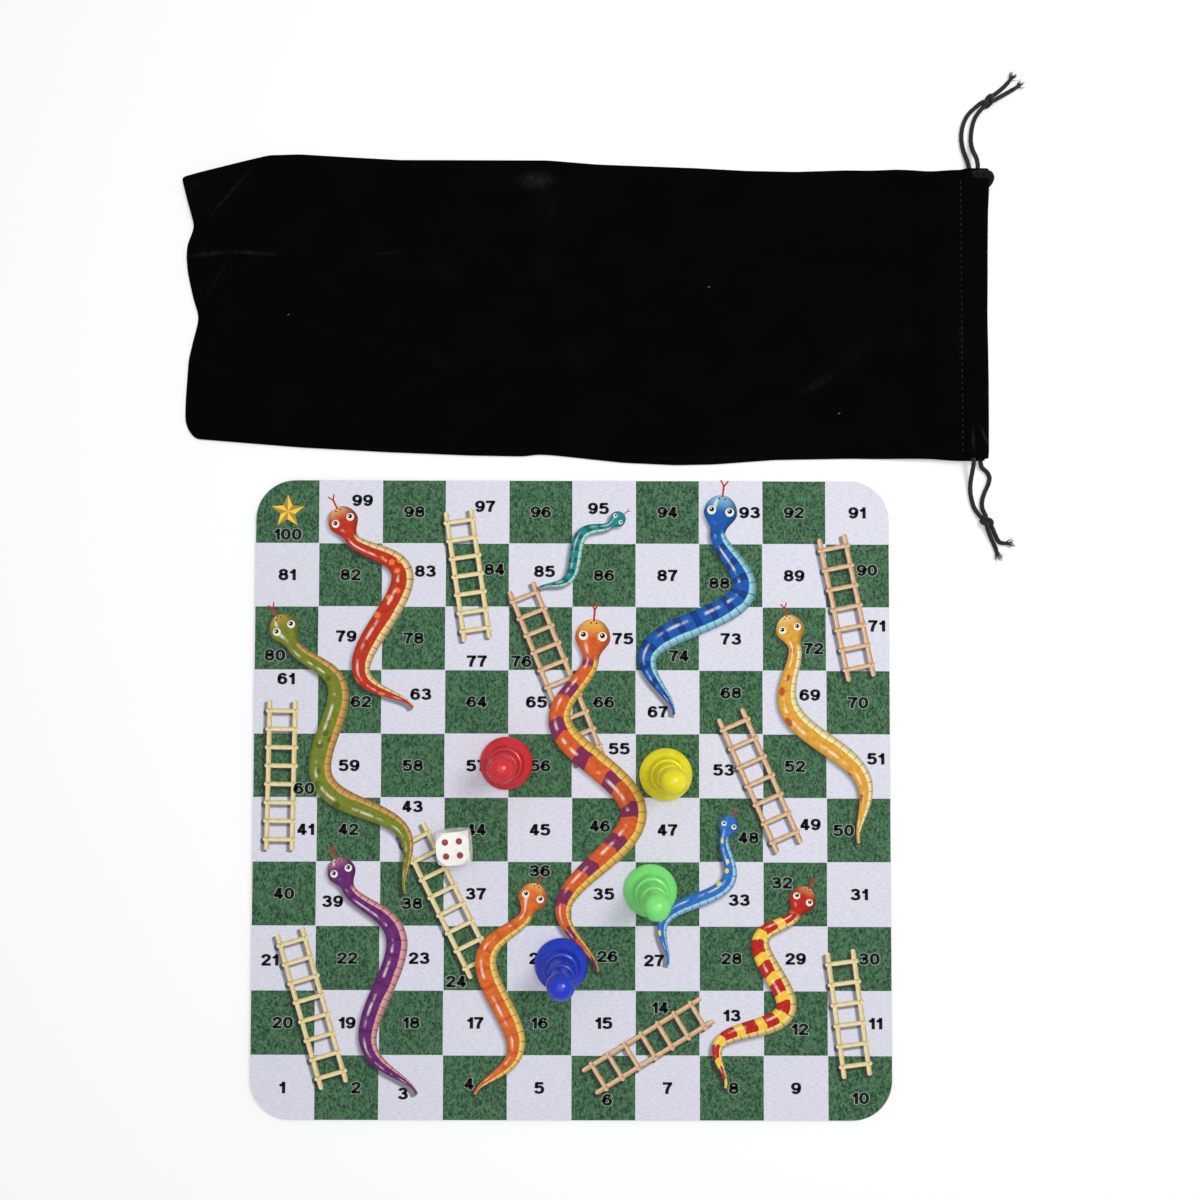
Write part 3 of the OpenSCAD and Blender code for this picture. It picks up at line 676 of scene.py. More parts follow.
class Snake:
    """A snake's outline, by the same rule as the dyed shape that it covers."""

    def __init__(self, shares):
        self.tail, self.head = on_board(*shares[0:2]), on_board(*shares[2:4])
        self.waves, self.swing_share = shares[4], shares[5]
        self.full_half = shares[6] * SNAKE_W / 2
        self.head_l = HEAD_L_SHARE * 2 * self.full_half

    def point(self, t):
        run = self.head - self.tail
        swing = self.swing_share * SQUARE * math.sin(2 * math.pi * self.waves * t) * (1 - (2 * t - 1) ** 4)
        return self.tail + run * t + turned(run.normalized()) * swing

    def way(self, t):
        return (self.point(min(t + WAY_SHARE, 1)) - self.point(max(t - WAY_SHARE, 0))).normalized()

    def body_half(self, t):
        narrow = 1 - (1 - NECK_SHARE) * smooth(3 * t - 2)
        return max(TAIL_TIP_W / 2, self.full_half * math.sin(math.pi / 2 * min(1, 2 * t)) * narrow)

    def head_half(self, u):
        if u < HEAD_WIDEST_SHARE:
            return self.full_half * (NECK_SHARE + (HEAD_W_SHARE - NECK_SHARE) * smooth(u / HEAD_WIDEST_SHARE))
        closing = (u - HEAD_WIDEST_SHARE) / (1 - HEAD_WIDEST_SHARE)
        return self.full_half * HEAD_W_SHARE * math.sqrt(max(0.0, 1 - closing ** 2))

    def on_head(self, u, side):
        """A point on the head: u from the neck to the nose, side from -1 to 1 of the widest half."""
        way = self.way(1)
        across = turned(way) * side * self.full_half * HEAD_W_SHARE
        return self.point(1) + way * u * self.head_l + across

    def circles(self):
        """Round samples of the whole outline: x, y and radius."""
        body = [i / BODY_SAMPLES for i in range(BODY_SAMPLES + 1)]
        head = [i / HEAD_SAMPLES for i in range(HEAD_SAMPLES + 1)]
        rings = [(*self.point(t), self.body_half(t)) for t in body]
        return rings + [(*self.on_head(u, 0), self.head_half(u)) for u in head]


def ladder_circles(ladder, width):
    foot, top = on_board(*ladder[:2]), on_board(*ladder[2:])
    count = math.ceil((top - foot).length / (width / 4))
    return [(*foot.lerp(top, i / count), width / 2) for i in range(count + 1)]


def layer_z(layer, settings):
    """Height of a print layer: each lies a hair above the one under it."""
    return MAT_TOP + settings.ink_lift * LAYERS[layer]


def thicken_down(piece, depth):
    """Gives a flat print its depth, downwards into the dyed pocket."""
    return finish_with(piece, "SOLIDIFY", thickness=depth, offset=-1)


def map_by(piece, rule):
    """Fills the piece's map from a rule on each point's index."""
    layer = piece.data.uv_layers.get("UVMap") or piece.data.uv_layers.new(name="UVMap")
    for loop in piece.data.loops:
        layer.data[loop.index].uv = rule(loop.vertex_index)


def grid(name, along, across, place):
    """A net of quads laid by a rule on its shares along and across; also the shares of each point."""
    bpy.ops.mesh.primitive_grid_add(x_subdivisions=along, y_subdivisions=across, size=1)
    piece = made(name)
    shares = [(vertex.co.x + 0.5, vertex.co.y + 0.5) for vertex in piece.data.vertices]
    for vertex, (u, v) in zip(piece.data.vertices, shares):
        vertex.co = place(u, v)
    return piece, shares


def snake_piece(name, snake, settings, layer, extra=0.0, shift=(0, 0), depth=0.0):
    """A net bent along the snake, with its map in millimetres along and from -1 to 1 across."""
    along = settings.snake_steps
    z = layer_z(layer, settings)
    spine, lengths = [], [0.0]
    for i in range(along + 1):
        share = i / along
        if share <= BODY_SHARE:
            t = share / BODY_SHARE
            spine.append((snake.point(t), snake.way(t), snake.body_half(t)))
        else:
            u = math.sin(math.pi / 2 * (share - BODY_SHARE) / (1 - BODY_SHARE))
            spine.append((snake.on_head(u, 0), snake.way(1), snake.head_half(u)))
        if i:
            lengths.append(lengths[-1] + (spine[i][0] - spine[i - 1][0]).length)

    def place(u, v):
        middle, way, half = spine[round(u * along)]
        spot = middle + turned(way) * (2 * v - 1) * (half + settings.ink_edge + extra) + Vector(shift)
        return spot.x, spot.y, z

    piece, shares = grid(name, along, SNAKE_STEPS_ACROSS, place)
    map_by(piece, lambda index: (lengths[round(shares[index][0] * along)] / MM, 2 * shares[index][1] - 1))
    if depth:
        thicken_down(piece, depth)
    return piece, lengths[round(along * BODY_SHARE)] / MM


def snake_ink(back, mark, belly, pattern, pitch, body_l):
    """Painted skin: a round back, its marks, a ribbed belly along one side and a broken shine."""
    back, mark, belly = colour(back), colour(mark), colour(belly)

    def ink(finish):
        place = finish.surface_map()
        along, side = finish.part(place, "X"), finish.part(place, "Y")
        rough = finish.noise(finish.place(), 420, 3, 0.6)
        soft = finish.noise(finish.place(), 110, 2)
        skin = finish.mix(finish.step(rough, 0.35, 0.7), back, shaded(back, 0.75))
        if pattern == "bands":
            bent = finish.plus(along, finish.times(finish.apart(side), pitch * 0.12))
            marks = finish.step(finish.ripple(bent, pitch), 0.2, 0.42)
        elif pattern == "spots":
            stretched = finish.surface_map((1 / pitch, 0.9, 1))
            marks = finish.step(finish.cells(stretched, 1.0, 0.7), 0.34, 0.26)
        else:
            marks = finish.times(finish.step(finish.ripple(along, pitch), 0.6, 1.0), 0.55)
        on_body = finish.step(along, body_l + 1, body_l - 3)
        skin = finish.lay(marks, on_body, mark, skin)
        ribs = finish.step(finish.ripple(along, 4.2), 0.86, 0.98)
        under = finish.lay(ribs, 0.6, shaded(back, 0.4), belly)
        wavy = finish.plus(side, finish.times(finish.sum("SUBTRACT", soft, 0.5), 0.25))
        skin = finish.lay(finish.step(wavy, -0.34, -0.44), on_body, under, skin)
        skin = finish.lay(finish.step(along, body_l + 9, body_l + 17), 0.55, belly, skin)
        shade = finish.step(finish.apart(side, 0.12), 0.5, 1.15)
        skin = finish.lay(shade, 0.66, shaded(back, 0.2), skin)
        near = finish.step(finish.apart(side, 0.42), 0.2, 0.02)
        broken = finish.step(finish.noise(finish.surface_map((0.16, 0.5, 1)), 1.0, 2), 0.42, 0.62)
        return finish.lay(finish.times(near, broken), 0.6, (1.0, 0.93, 0.84, 1), skin)

    return ink


def shadow_print(name):
    """A soft painted shadow that darkens whatever is printed under it."""
    finish = Finish(name, 0.86, 0.1)
    side = finish.part(finish.surface_map(), "Y")
    grain = finish.step(finish.noise(finish.place(), 700, 3, 0.6), 0.2, 0.8)
    soft = finish.step(finish.apart(side), 1.0, 0.45)
    finish.set("Base Color", finish.mix(grain, (0.05, 0.05, 0.07, 1), (0.02, 0.02, 0.03, 1)))
    finish.set("Alpha", finish.times(soft, 0.46))
    return finish.material


def dots(name, spots, z):
    """Thin round dots of given radius at given places, as one piece."""
    bpy.ops.mesh.primitive_circle_add(vertices=DOT_SIDES, radius=1, fill_type="NGON")
    dot = thicken_down(made("dot"), DOT_T)
    places = [Matrix.Translation((p.x, p.y, z)) @ Matrix.Diagonal((r, r, 1, 1)) for p, r in spots]
    return copies(dot, places, name)


def strip(name, start, end, width, z, depth=0.0):
    """A flat bar with round ends, with its map in millimetres along and from -1 to 1 across."""
    run = end - start
    bpy.ops.mesh.primitive_plane_add(size=1)
    piece = made(name)
    for vertex in piece.data.vertices:
        vertex.co = (vertex.co.x * run.length, vertex.co.y * width, 0)
    with editing(piece):
        bpy.ops.mesh.bevel(offset=width * BAR_ROUND_SHARE, segments=BAR_ROUND_STEPS, affect="VERTICES")
    if depth:
        thicken_down(piece, depth)
    points = [v.co.copy() for v in piece.data.vertices]
    map_by(piece, lambda index: (points[index].x / MM, points[index].y * 2 / width))
    middle = (start + end) / 2
    piece.location = (middle.x, middle.y, z)
    piece.rotation_euler = (0, 0, math.atan2(run.y, run.x))
    return piece


def wood_ink(pale, dark):
    """Painted wood: long grain, darker towards the edges and lit along one side."""
    pale, dark = colour(pale), colour(dark)

    def ink(finish):
        side = finish.part(finish.surface_map(), "Y")
        grain = finish.noise(finish.surface_map((0.18, 2.2, 1)), 1.6, 4, 0.65, 0.6)
        wood = finish.mix(finish.step(grain, 0.32, 0.68), pale, dark)
        wood = finish.lay(finish.step(finish.apart(side, 0.2), 0.5, 1.2), 0.6, shaded(dark, 0.38), wood)
        return finish.lay(finish.step(finish.apart(side, 0.3), 0.3, 0.05), 0.35, (1, 0.97, 0.85, 1), wood)

    return ink


# Tubes: strings, knots, fibres and stitches


def smooth_route(points, step, closed=False):
    """A smooth line through points, as a list of places about a step apart; a closed one comes back."""
    points = [Vector(p) for p in points]
    if closed:
        points.append(points[0])
        ends = [points[-2]] + points + [points[1]]
    else:
        ends = [2 * points[0] - points[1]] + points + [2 * points[-1] - points[-2]]
    route = []
    for i in range(1, len(ends) - 2):
        a, b, c, d = ends[i - 1:i + 3]
        count = max(2, math.ceil((c - b).length / step))
        for k in range(count):
            t = k / count
            bend = (2 * a - 5 * b + 4 * c - d) * t ** 2 + (3 * b - a - 3 * c + d) * t ** 3
            route.append(0.5 * (2 * b + (c - a) * t + bend))
    return route + [points[-1]]


def laid(points, step, radius):
    """A smooth line through points for a string that rests on the table wherever it would sink into it."""
    return [Vector((p.x, p.y, max(p.z, REST_SHARE * radius))) for p in smooth_route(points, step)]


def straight_run(curve, places):
    """Adds a spline to a curve, straight from place to place."""
    spline = curve.splines.new("POLY")
    spline.points.add(len(places) - 1)
    for point, place in zip(spline.points, places):
        point.co = (*place, 1)
    return spline


def curve_through(name, places):
    """A curve straight from place to place, and its spline."""
    curve = bpy.data.curves.new(name, "CURVE")
    curve.dimensions = "3D"
    piece = bpy.data.objects.new(name, curve)
    bpy.context.collection.objects.link(piece)
    return piece, straight_run(curve, places)


def ply_section(radius):
    """A string's section round its middle, with a low wave for each ply."""
    for k in range(STRING_SIDES):
        a = 2 * math.pi * k / STRING_SIDES
        r = radius * (PLY_LOW_SHARE + PLY_RISE_SHARE * abs(math.cos(PLIES / 2 * a)))
        yield r * math.cos(a), r * math.sin(a), 0


def tube(name, route, radius, lay=0.0, radii=None, sides=4):
    """A tube along a route, made as a curve and turned into a mesh; with a lay it is a twisted string."""
    piece, spline = curve_through(name, route)
    curve = piece.data
    curve.use_fill_caps = True
    turn = 0.0
    for i, point in enumerate(spline.points):
        if i and lay:
            turn += 2 * math.pi * (route[i] - route[i - 1]).length / lay
        point.tilt = turn
        point.radius = radii[i] if radii else 1
    profile = None
    if lay:
        bpy.ops.curve.primitive_bezier_circle_add(radius=1)
        profile = made("string_profile")
        profile.data.splines.clear()
        straight_run(profile.data, list(ply_section(radius))).use_cyclic_u = True
        curve.bevel_mode = "OBJECT"
        curve.bevel_object = profile
    else:
        curve.bevel_depth = radius
        curve.bevel_resolution = sides
    take(piece)
    bpy.ops.object.convert(target="MESH")
    if profile:
        bpy.data.objects.remove(profile)
    return smoothed(made(name), 60)


def from_corner(seam, point):
    """A place counted in millimetres from a corner of the pouch's mouth, with its height above the table."""
    return Vector((MOUTH_X + point[0] * MM, seam + point[1] * MM, point[2] * MM))


# The user's sizes and colours


def length(name, description, millimetres):
    return FloatProperty(
        name=name, description=description, default=millimetres * MM, min=0, subtype="DISTANCE", unit="LENGTH"
    )


def number(name, description, default, low=0):
    kind = IntProperty if isinstance(default, int) else FloatProperty
    return kind(name=name, description=description, default=default, min=low)


def tint(name, description, code):
    return FloatVectorProperty(
        name=name, description=description, default=colour(code), size=4, subtype="COLOR", min=0, max=1
    )


class BoardSettings(bpy.types.PropertyGroup):
    """Sizes and colours of the mat and its print."""

    thread_pitch: length("Thread pitch", "Distance between threads of the mat's face", 0.5)
    thread_depth: length("Thread depth", "Relief of the woven face", 0.05)
    ink_lift: length("Ink lift", "Height of each layer of print above the one under it", 0.012)
    ink_edge: length("Ink edge", "How far a printed shape runs over its dyed pocket", 0.12)
    digit_h: length("Digit height", "Height of a number's digits", 5.85)
    digit_w: length("Digit width", "Width of a digit before it is widened", 3.75)
    digit_stretch: number("Digit stretch", "Widening of the digits", 1.34, 0.5)
    digit_stroke: length("Digit weight", "Width of a digit's strokes", 1.26)
    digit_gap: length("Digit gap", "Space between two digits", 0.45)
    halo_w: length("Halo width", "Pale line round a number on a green square", 0.22)
    ladder_w: length("Ladder width", "Width of a ladder over its rails", 15)
    rail_w: length("Rail width", "Width of a ladder's rail", 2.2)
    rung_w: length("Rung width", "Width of a ladder's rung", 2)
    rung_pitch: length("Rung pitch", "Distance from rung to rung", 9)
    nail_r: length("Nail radius", "Radius of the nails drawn on the ladders", 0.28)
    shadow_w: length("Shadow", "How far a painted shadow spreads past its shape", 1.3)
    snake_steps: number("Snake steps", "Cells along a snake", 132, 40)
    cloth_white: tint("Cloth", "Colour of the unprinted face", "#e2e1ed")
    green_dark: tint("Dark green", "Darker blades of the green squares", "#153522")
    green_light: tint("Light green", "Lighter blades of the green squares", "#587f5c")
    ink_black: tint("Ink", "Colour of the numbers", "#141317")
    halo: tint("Halo", "Pale line round the numbers on green", "#a8bbac")
    gold: tint("Gold", "Colour of the star on the last square", "#e0b84a")
    rubber: tint("Rubber", "Colour of the foam backing", "#1c1c1e")


class PieceSettings(bpy.types.PropertyGroup):
    """Colours of the pawns and the die."""

    red: tint("Red pawn", "Colour of the red plastic", "#cf2430")
    yellow: tint("Yellow pawn", "Colour of the yellow plastic", "#e6da0e")
    green: tint("Green pawn", "Colour of the green plastic", "#79e274")
    blue: tint("Blue pawn", "Colour of the blue plastic", "#1134bd")
    die: tint("Die", "Colour of the die", "#f1efe9")
    pip: tint("Pips", "Colour of the paint in the pips", "#96101e")


class PouchSettings(bpy.types.PropertyGroup):
    """Sizes and colours of the velvet pouch."""

    velvet_t: length("Velvet thickness", "Thickness of one layer", 0.8)
    puff_h: length("Puff", "Height to which the upper layer puffs over the lower one", 2.4)
    steps_along: number("Steps along", "Cells along a panel", 132, 20)
    steps_across: number("Steps across", "Cells across a panel", 48, 10)
    hem_steps: number("Hem steps", "Cells round a hem", 28, 8)
    slack: number("Slack", "Spare cloth between the seams, as a share", 0.02)
    pressure: number("Air", "Air pressure between the layers", 0.5)
    frames: number("Frames", "Frames of the cloth simulation", 26, 1)
    stitch_pitch: length("Stitch pitch", "Distance between stitches of the hem", 3.1)
    stitch_l: length("Stitch length", "Length of one stitch", 2.2)
    thread_d: length("Thread", "Diameter of the sewing thread", 0.34)
    velvet: tint("Velvet", "Colour of the pile", "#030404")
    # Painted sheen of the pile along its creases and folds, in one colour with its brushed pile
    brushed_pile: tint("Brushed pile", "Colour of the pile where it is brushed up", "#242625")
    thread: tint("Thread colour", "Colour of the hem's stitches", "#2c2e2f")
    lint: tint("Lint", "Colour of the lint specks", "#8d9498")


class StringSettings(bpy.types.PropertyGroup):
    """Sizes and colours of the drawstrings."""

    string_d: length("String", "Diameter of a drawstring", 2.2)
    lay: length("Lay", "Length of one turn of the twist", 9)
    knot_l: length("Knot length", "Length of a knot", 8)
    knot_d: length("Knot diameter", "Diameter of a knot", 5.6)
    fray_l: length("Fray", "Length of the loose fibres at an end", 4)
    fibres: number("Fibres", "Loose fibres at each end", 26, 1)
    fibre: tint("Fibre", "Colour of the string", "#191919")


class StageSettings(bpy.types.PropertyGroup):
    """Camera, lamps and floor."""

    camera_place: FloatVectorProperty(
        name="Camera", description="Place of the camera", default=(-0.00112, 0.05681, 0.5),
        subtype="TRANSLATION", unit="LENGTH",
    )
    camera_turn: FloatVectorProperty(
        name="Camera turn", description="Turn of the camera", default=(0.02741, -0.00133, 0.00224),
        subtype="EULER",
    )
    lens: number("Lens", "Focal length in millimetres", 29.627, 5)
    shift: FloatVectorProperty(
        name="Shift", description="Shift of the camera's frame", default=(0.02397, 0.04792), size=2
    )
    floor: tint("Floor", "Colour of the floor", "#fbfbfa")
    lamp_power: number("Lamps", "Power in watts that the lamps take their shares of", 9.7)
    sky: number("Sky", "Strength of the even light from all round", 0.5)


# Operators, one for each piece or group of like pieces


class BOARD_OT_stage(bpy.types.Operator):
    """Lays the floor and sets the camera and the lamps"""

    bl_idname = "board_game.stage"
    bl_label = "Stage"

    def backdrop(self, shade):
        """Pale paper that the camera sees as nearly white, and wholly white far out, clear from below."""
        finish = Finish("floor_paper", 0.9, 0.1)
        finish.set("Base Color", tuple(shade))
        ray = finish.node("LightPath", {}, {})
        seen = finish.plus(ray.outputs["Is Camera Ray"], ray.outputs["Is Glossy Ray"])
        seen = finish.sum("ADD", seen, ray.outputs["Is Transmission Ray"], clamp=True)
        glow = finish.node("Emission", {}, {"Color": (1, 1, 1, 1), "Strength": 1.0})
        far = finish.step(finish.reach(finish.place()), GLOW_START, GLOW_END)
        share = finish.plus(finish.times(far, 1 - FLOOR_GLOW_SHARE), FLOOR_GLOW_SHARE)
        above = finish.blend(finish.times(seen, share), finish.surface, glow)
        back = finish.node("NewGeometry", {}, {}).outputs["Backfacing"]
        seen_through = finish.blend(back, above, finish.node("BsdfTransparent", {}, {}))
        finish.feed(finish.tree.nodes["Material Output"].inputs["Surface"], seen_through.outputs[0])
        return finish.material

    def lamp(self, name, place, target, size, power):
        bpy.ops.object.light_add(type="AREA", location=place)
        lamp = made(name)
        lamp.data.size = size
        lamp.data.energy = power
        lamp.rotation_euler = (Vector(target) - Vector(place)).to_track_quat("-Z", "Y").to_euler()

    def execute(self, context):
        stage = context.scene.stage
        bpy.ops.mesh.primitive_plane_add(size=FLOOR_W, location=(0, 0, -FLOOR_DROP))
        floor = made("floor")
        floor.data.materials.append(self.backdrop(stage.floor))

        world = bpy.data.worlds.new("even_light")
        context.scene.world = world
        world.use_nodes = True
        tree = world.node_tree
        ground = tree.nodes["Background"]
        ground.inputs["Color"].default_value = SKY
        ground.inputs["Strength"].default_value = stage.sky
        white = tree.nodes.new("ShaderNodeBackground")
        white.inputs["Color"].default_value = (1, 1, 1, 1)
        ray = tree.nodes.new("ShaderNodeLightPath")
        blend = tree.nodes.new("ShaderNodeMixShader")
        tree.links.new(ray.outputs["Is Camera Ray"], blend.inputs[0])
        tree.links.new(ground.outputs[0], blend.inputs[1])
        tree.links.new(white.outputs[0], blend.inputs[2])
        tree.links.new(blend.outputs[0], tree.nodes["World Output"].inputs[0])

        for name, place, target, size, share in LAMPS:
            self.lamp(name, place, target, size, stage.lamp_power * share)

        bpy.ops.object.camera_add(location=stage.camera_place, rotation=stage.camera_turn)
        camera = made("camera")
        camera.data.sensor_width = SENSOR_W
        camera.data.lens = stage.lens
        camera.data.shift_x, camera.data.shift_y = stage.shift
        camera.data.clip_start = CLIP_START
        context.scene.camera = camera
        context.scene.view_settings.view_transform = "Standard"
        return {"FINISHED"}


class BOARD_OT_strings(bpy.types.Operator):
    """Lays the two drawstrings: runs in the hems, free strands, knots and frayed tails"""

    bl_idname = "board_game.strings"
    bl_label = "Drawstrings"

    def cord_finish(self, strings):
        """Twisted cord: fine yarns that slant round the string, with fibre noise."""
        finish = Finish("drawstring_braid", 0.72, 0.3)
        place = finish.surface_map()
        yarns = finish.plus(finish.part(place, "X"), finish.part(place, "Y"))
        fibres = finish.noise(finish.place(), 2600, 4, 0.7)
        ply = finish.ripple(yarns, 1 / 6)
        shade = finish.step(finish.plus(fibres, finish.times(ply, 0.12)), 0.3, 0.75)
        finish.set("Base Color", finish.mix(shade, shaded(strings.fibre, 0.45), shaded(strings.fibre, 1.7)))
        finish.set("Sheen Weight", 0.15)
        finish.bump(ply, 0.03 * MM).bump(fibres, 0.08 * MM)
        return finish.material

    def strand_points(self, node):
        """A free strand's places, from where it leaves the pouch to its knot."""
        seam_y, inset, z, route = STRANDS[node]
        leaving = Vector((MOUTH_X - inset * MM, seam_y, z))
        return [leaving] + [Vector((leaving.x + p[0] * MM, seam_y + p[1] * MM, p[2] * MM)) for p in route]

    def knot(self, side, seam, strings):
        """An overhand knot drawn tight: two strings side by side along a trefoil of the knot's size."""
        x, y, degrees = KNOTS[side]
        r = strings.string_d / 2
        rise = (strings.knot_d / 2 - KNOT_REST_SHARE * r) / (1 + KNOT_SPREAD_SHARE)
        reach = strings.knot_l / 2 - r, strings.knot_d / 2 - r, rise
        middle = from_corner(seam, (x, y, strings.knot_d / MM / 2))
        strands = []
        for beside in (-1, 1):
            route = []
            for i in range(KNOT_STEPS + 1):
                t = 2 * math.pi * i / KNOT_STEPS + beside * KNOT_LAG
                across, along = math.sin(t) + 2 * math.sin(2 * t), math.cos(t) - 2 * math.cos(2 * t)
                lobe = across / 3, along / 3, -math.sin(3 * t)
                route.append(Vector([a * b * (1 - KNOT_SPREAD_SHARE * beside) for a, b in zip(lobe, reach)]))
            strand = tube("strand_of_knot", route, r, strings.lay / 2)
            strand.rotation_euler = (0, 0, math.radians(degrees))
            strand.location = middle
            strands.append(strand)
        ends = [self.strand_points(f"{side}_strand_{hand}")[-1] for hand in ("left", "right")]
        for end in ends + [from_corner(seam, route[0]) for route in TAILS[side]]:
            inside = middle.lerp(end, LEAD_INNER_SHARE)
            outside = end + (end - middle).normalized() * LEAD_OUTER
            lead = [inside.lerp(outside, i / LEAD_STEPS) for i in range(LEAD_STEPS + 1)]
            strands.append(tube("lead", lead, r * LEAD_R_SHARE, strings.lay))
        return joined(strands, side + "_knot_tied")

    def tail(self, seam, route, strings, dice):
        """A short tail that loosens into fibres."""
        r = strings.string_d / 2
        places = laid([from_corner(seam, p) for p in route], ROUTE_STEP, r)
        count = len(places)
        thin = [1 - TAIL_THINS_SHARE * ramp(i / count, TAIL_THIN_SPAN) for i in range(count)]
        parts = [tube("tail", places, r, strings.lay, thin)]
        end, way = places[-1], (places[-1] - places[-3]).normalized()
        across = way.cross(Vector((0, 0, 1))).normalized()
        for _ in range(strings.fibres):
            aside, above = dice.uniform(*ASIDE_RANGE), dice.uniform(*ABOVE_RANGE)
            start = end - way * dice.uniform(*START_RANGE) * MM + across * aside * r * FIBRE_OUT_SHARE
            start.z = max(start.z + above * r * FIBRE_UP_SHARE, FIBRE_REST)
            fan = way + across * aside * dice.uniform(*FAN_RANGE)
            tip = start + fan.normalized() * strings.fray_l * dice.uniform(*FRAY_RANGE)
            tip.z = max(FIBRE_REST, start.z + dice.uniform(*RISE_RANGE) * MM)
            bend = start.lerp(tip, FIBRE_BEND_SHARE) + across * dice.uniform(*BEND_RANGE) * MM
            fibre = smooth_route([start, bend, tip], FIBRE_STEP)
            thin = [1 - FIBRE_THINS_SHARE * i / len(fibre) for i in range(len(fibre))]
            parts.append(tube("fibre", fibre, dice.uniform(*RADIUS_RANGE) * MM, radii=thin, sides=0))
        return parts

    def execute(self, context):
        strings = context.scene.strings
        cord = self.cord_finish(strings)
        dice = random.Random(7)
        r = strings.string_d / 2
        for side, seam in (("upper", UPPER_SEAM), ("lower", LOWER_SEAM)):
            body = side + "_string"
            knot = dress(self.knot(side, seam, strings), cord, body, [side + "_knot"])
            ends = [part for route in TAILS[side] for part in self.tail(seam, route, strings, dice)]
            tails = dress(joined(ends, side + "_tails_frayed"), cord, body, [side + "_tails"])
            held = []
            for hand in ("left", "right"):
                node = f"{side}_strand_{hand}"
                points = self.strand_points(node)
                leaving = points[0]
                places = laid(points, ROUTE_STEP, r)
                strand = dress(tube(node + "_string", places, r, strings.lay), cord, body, [node])
                far = Vector((leaving.x, LOWER_SEAM + UPPER_SEAM - leaving.y, leaving.z))
                far = far.lerp(leaving, HELD_STOP_SHARE)
                run = [far.lerp(leaving, i / HELD_STEPS) for i in range(HELD_STEPS + 1)]
                held.append(tube("held_run", run, r, strings.lay))
            dress(joined(held, side + "_string_in_hems"), cord, body, [side + "_string_held"])
        return {"FINISHED"}


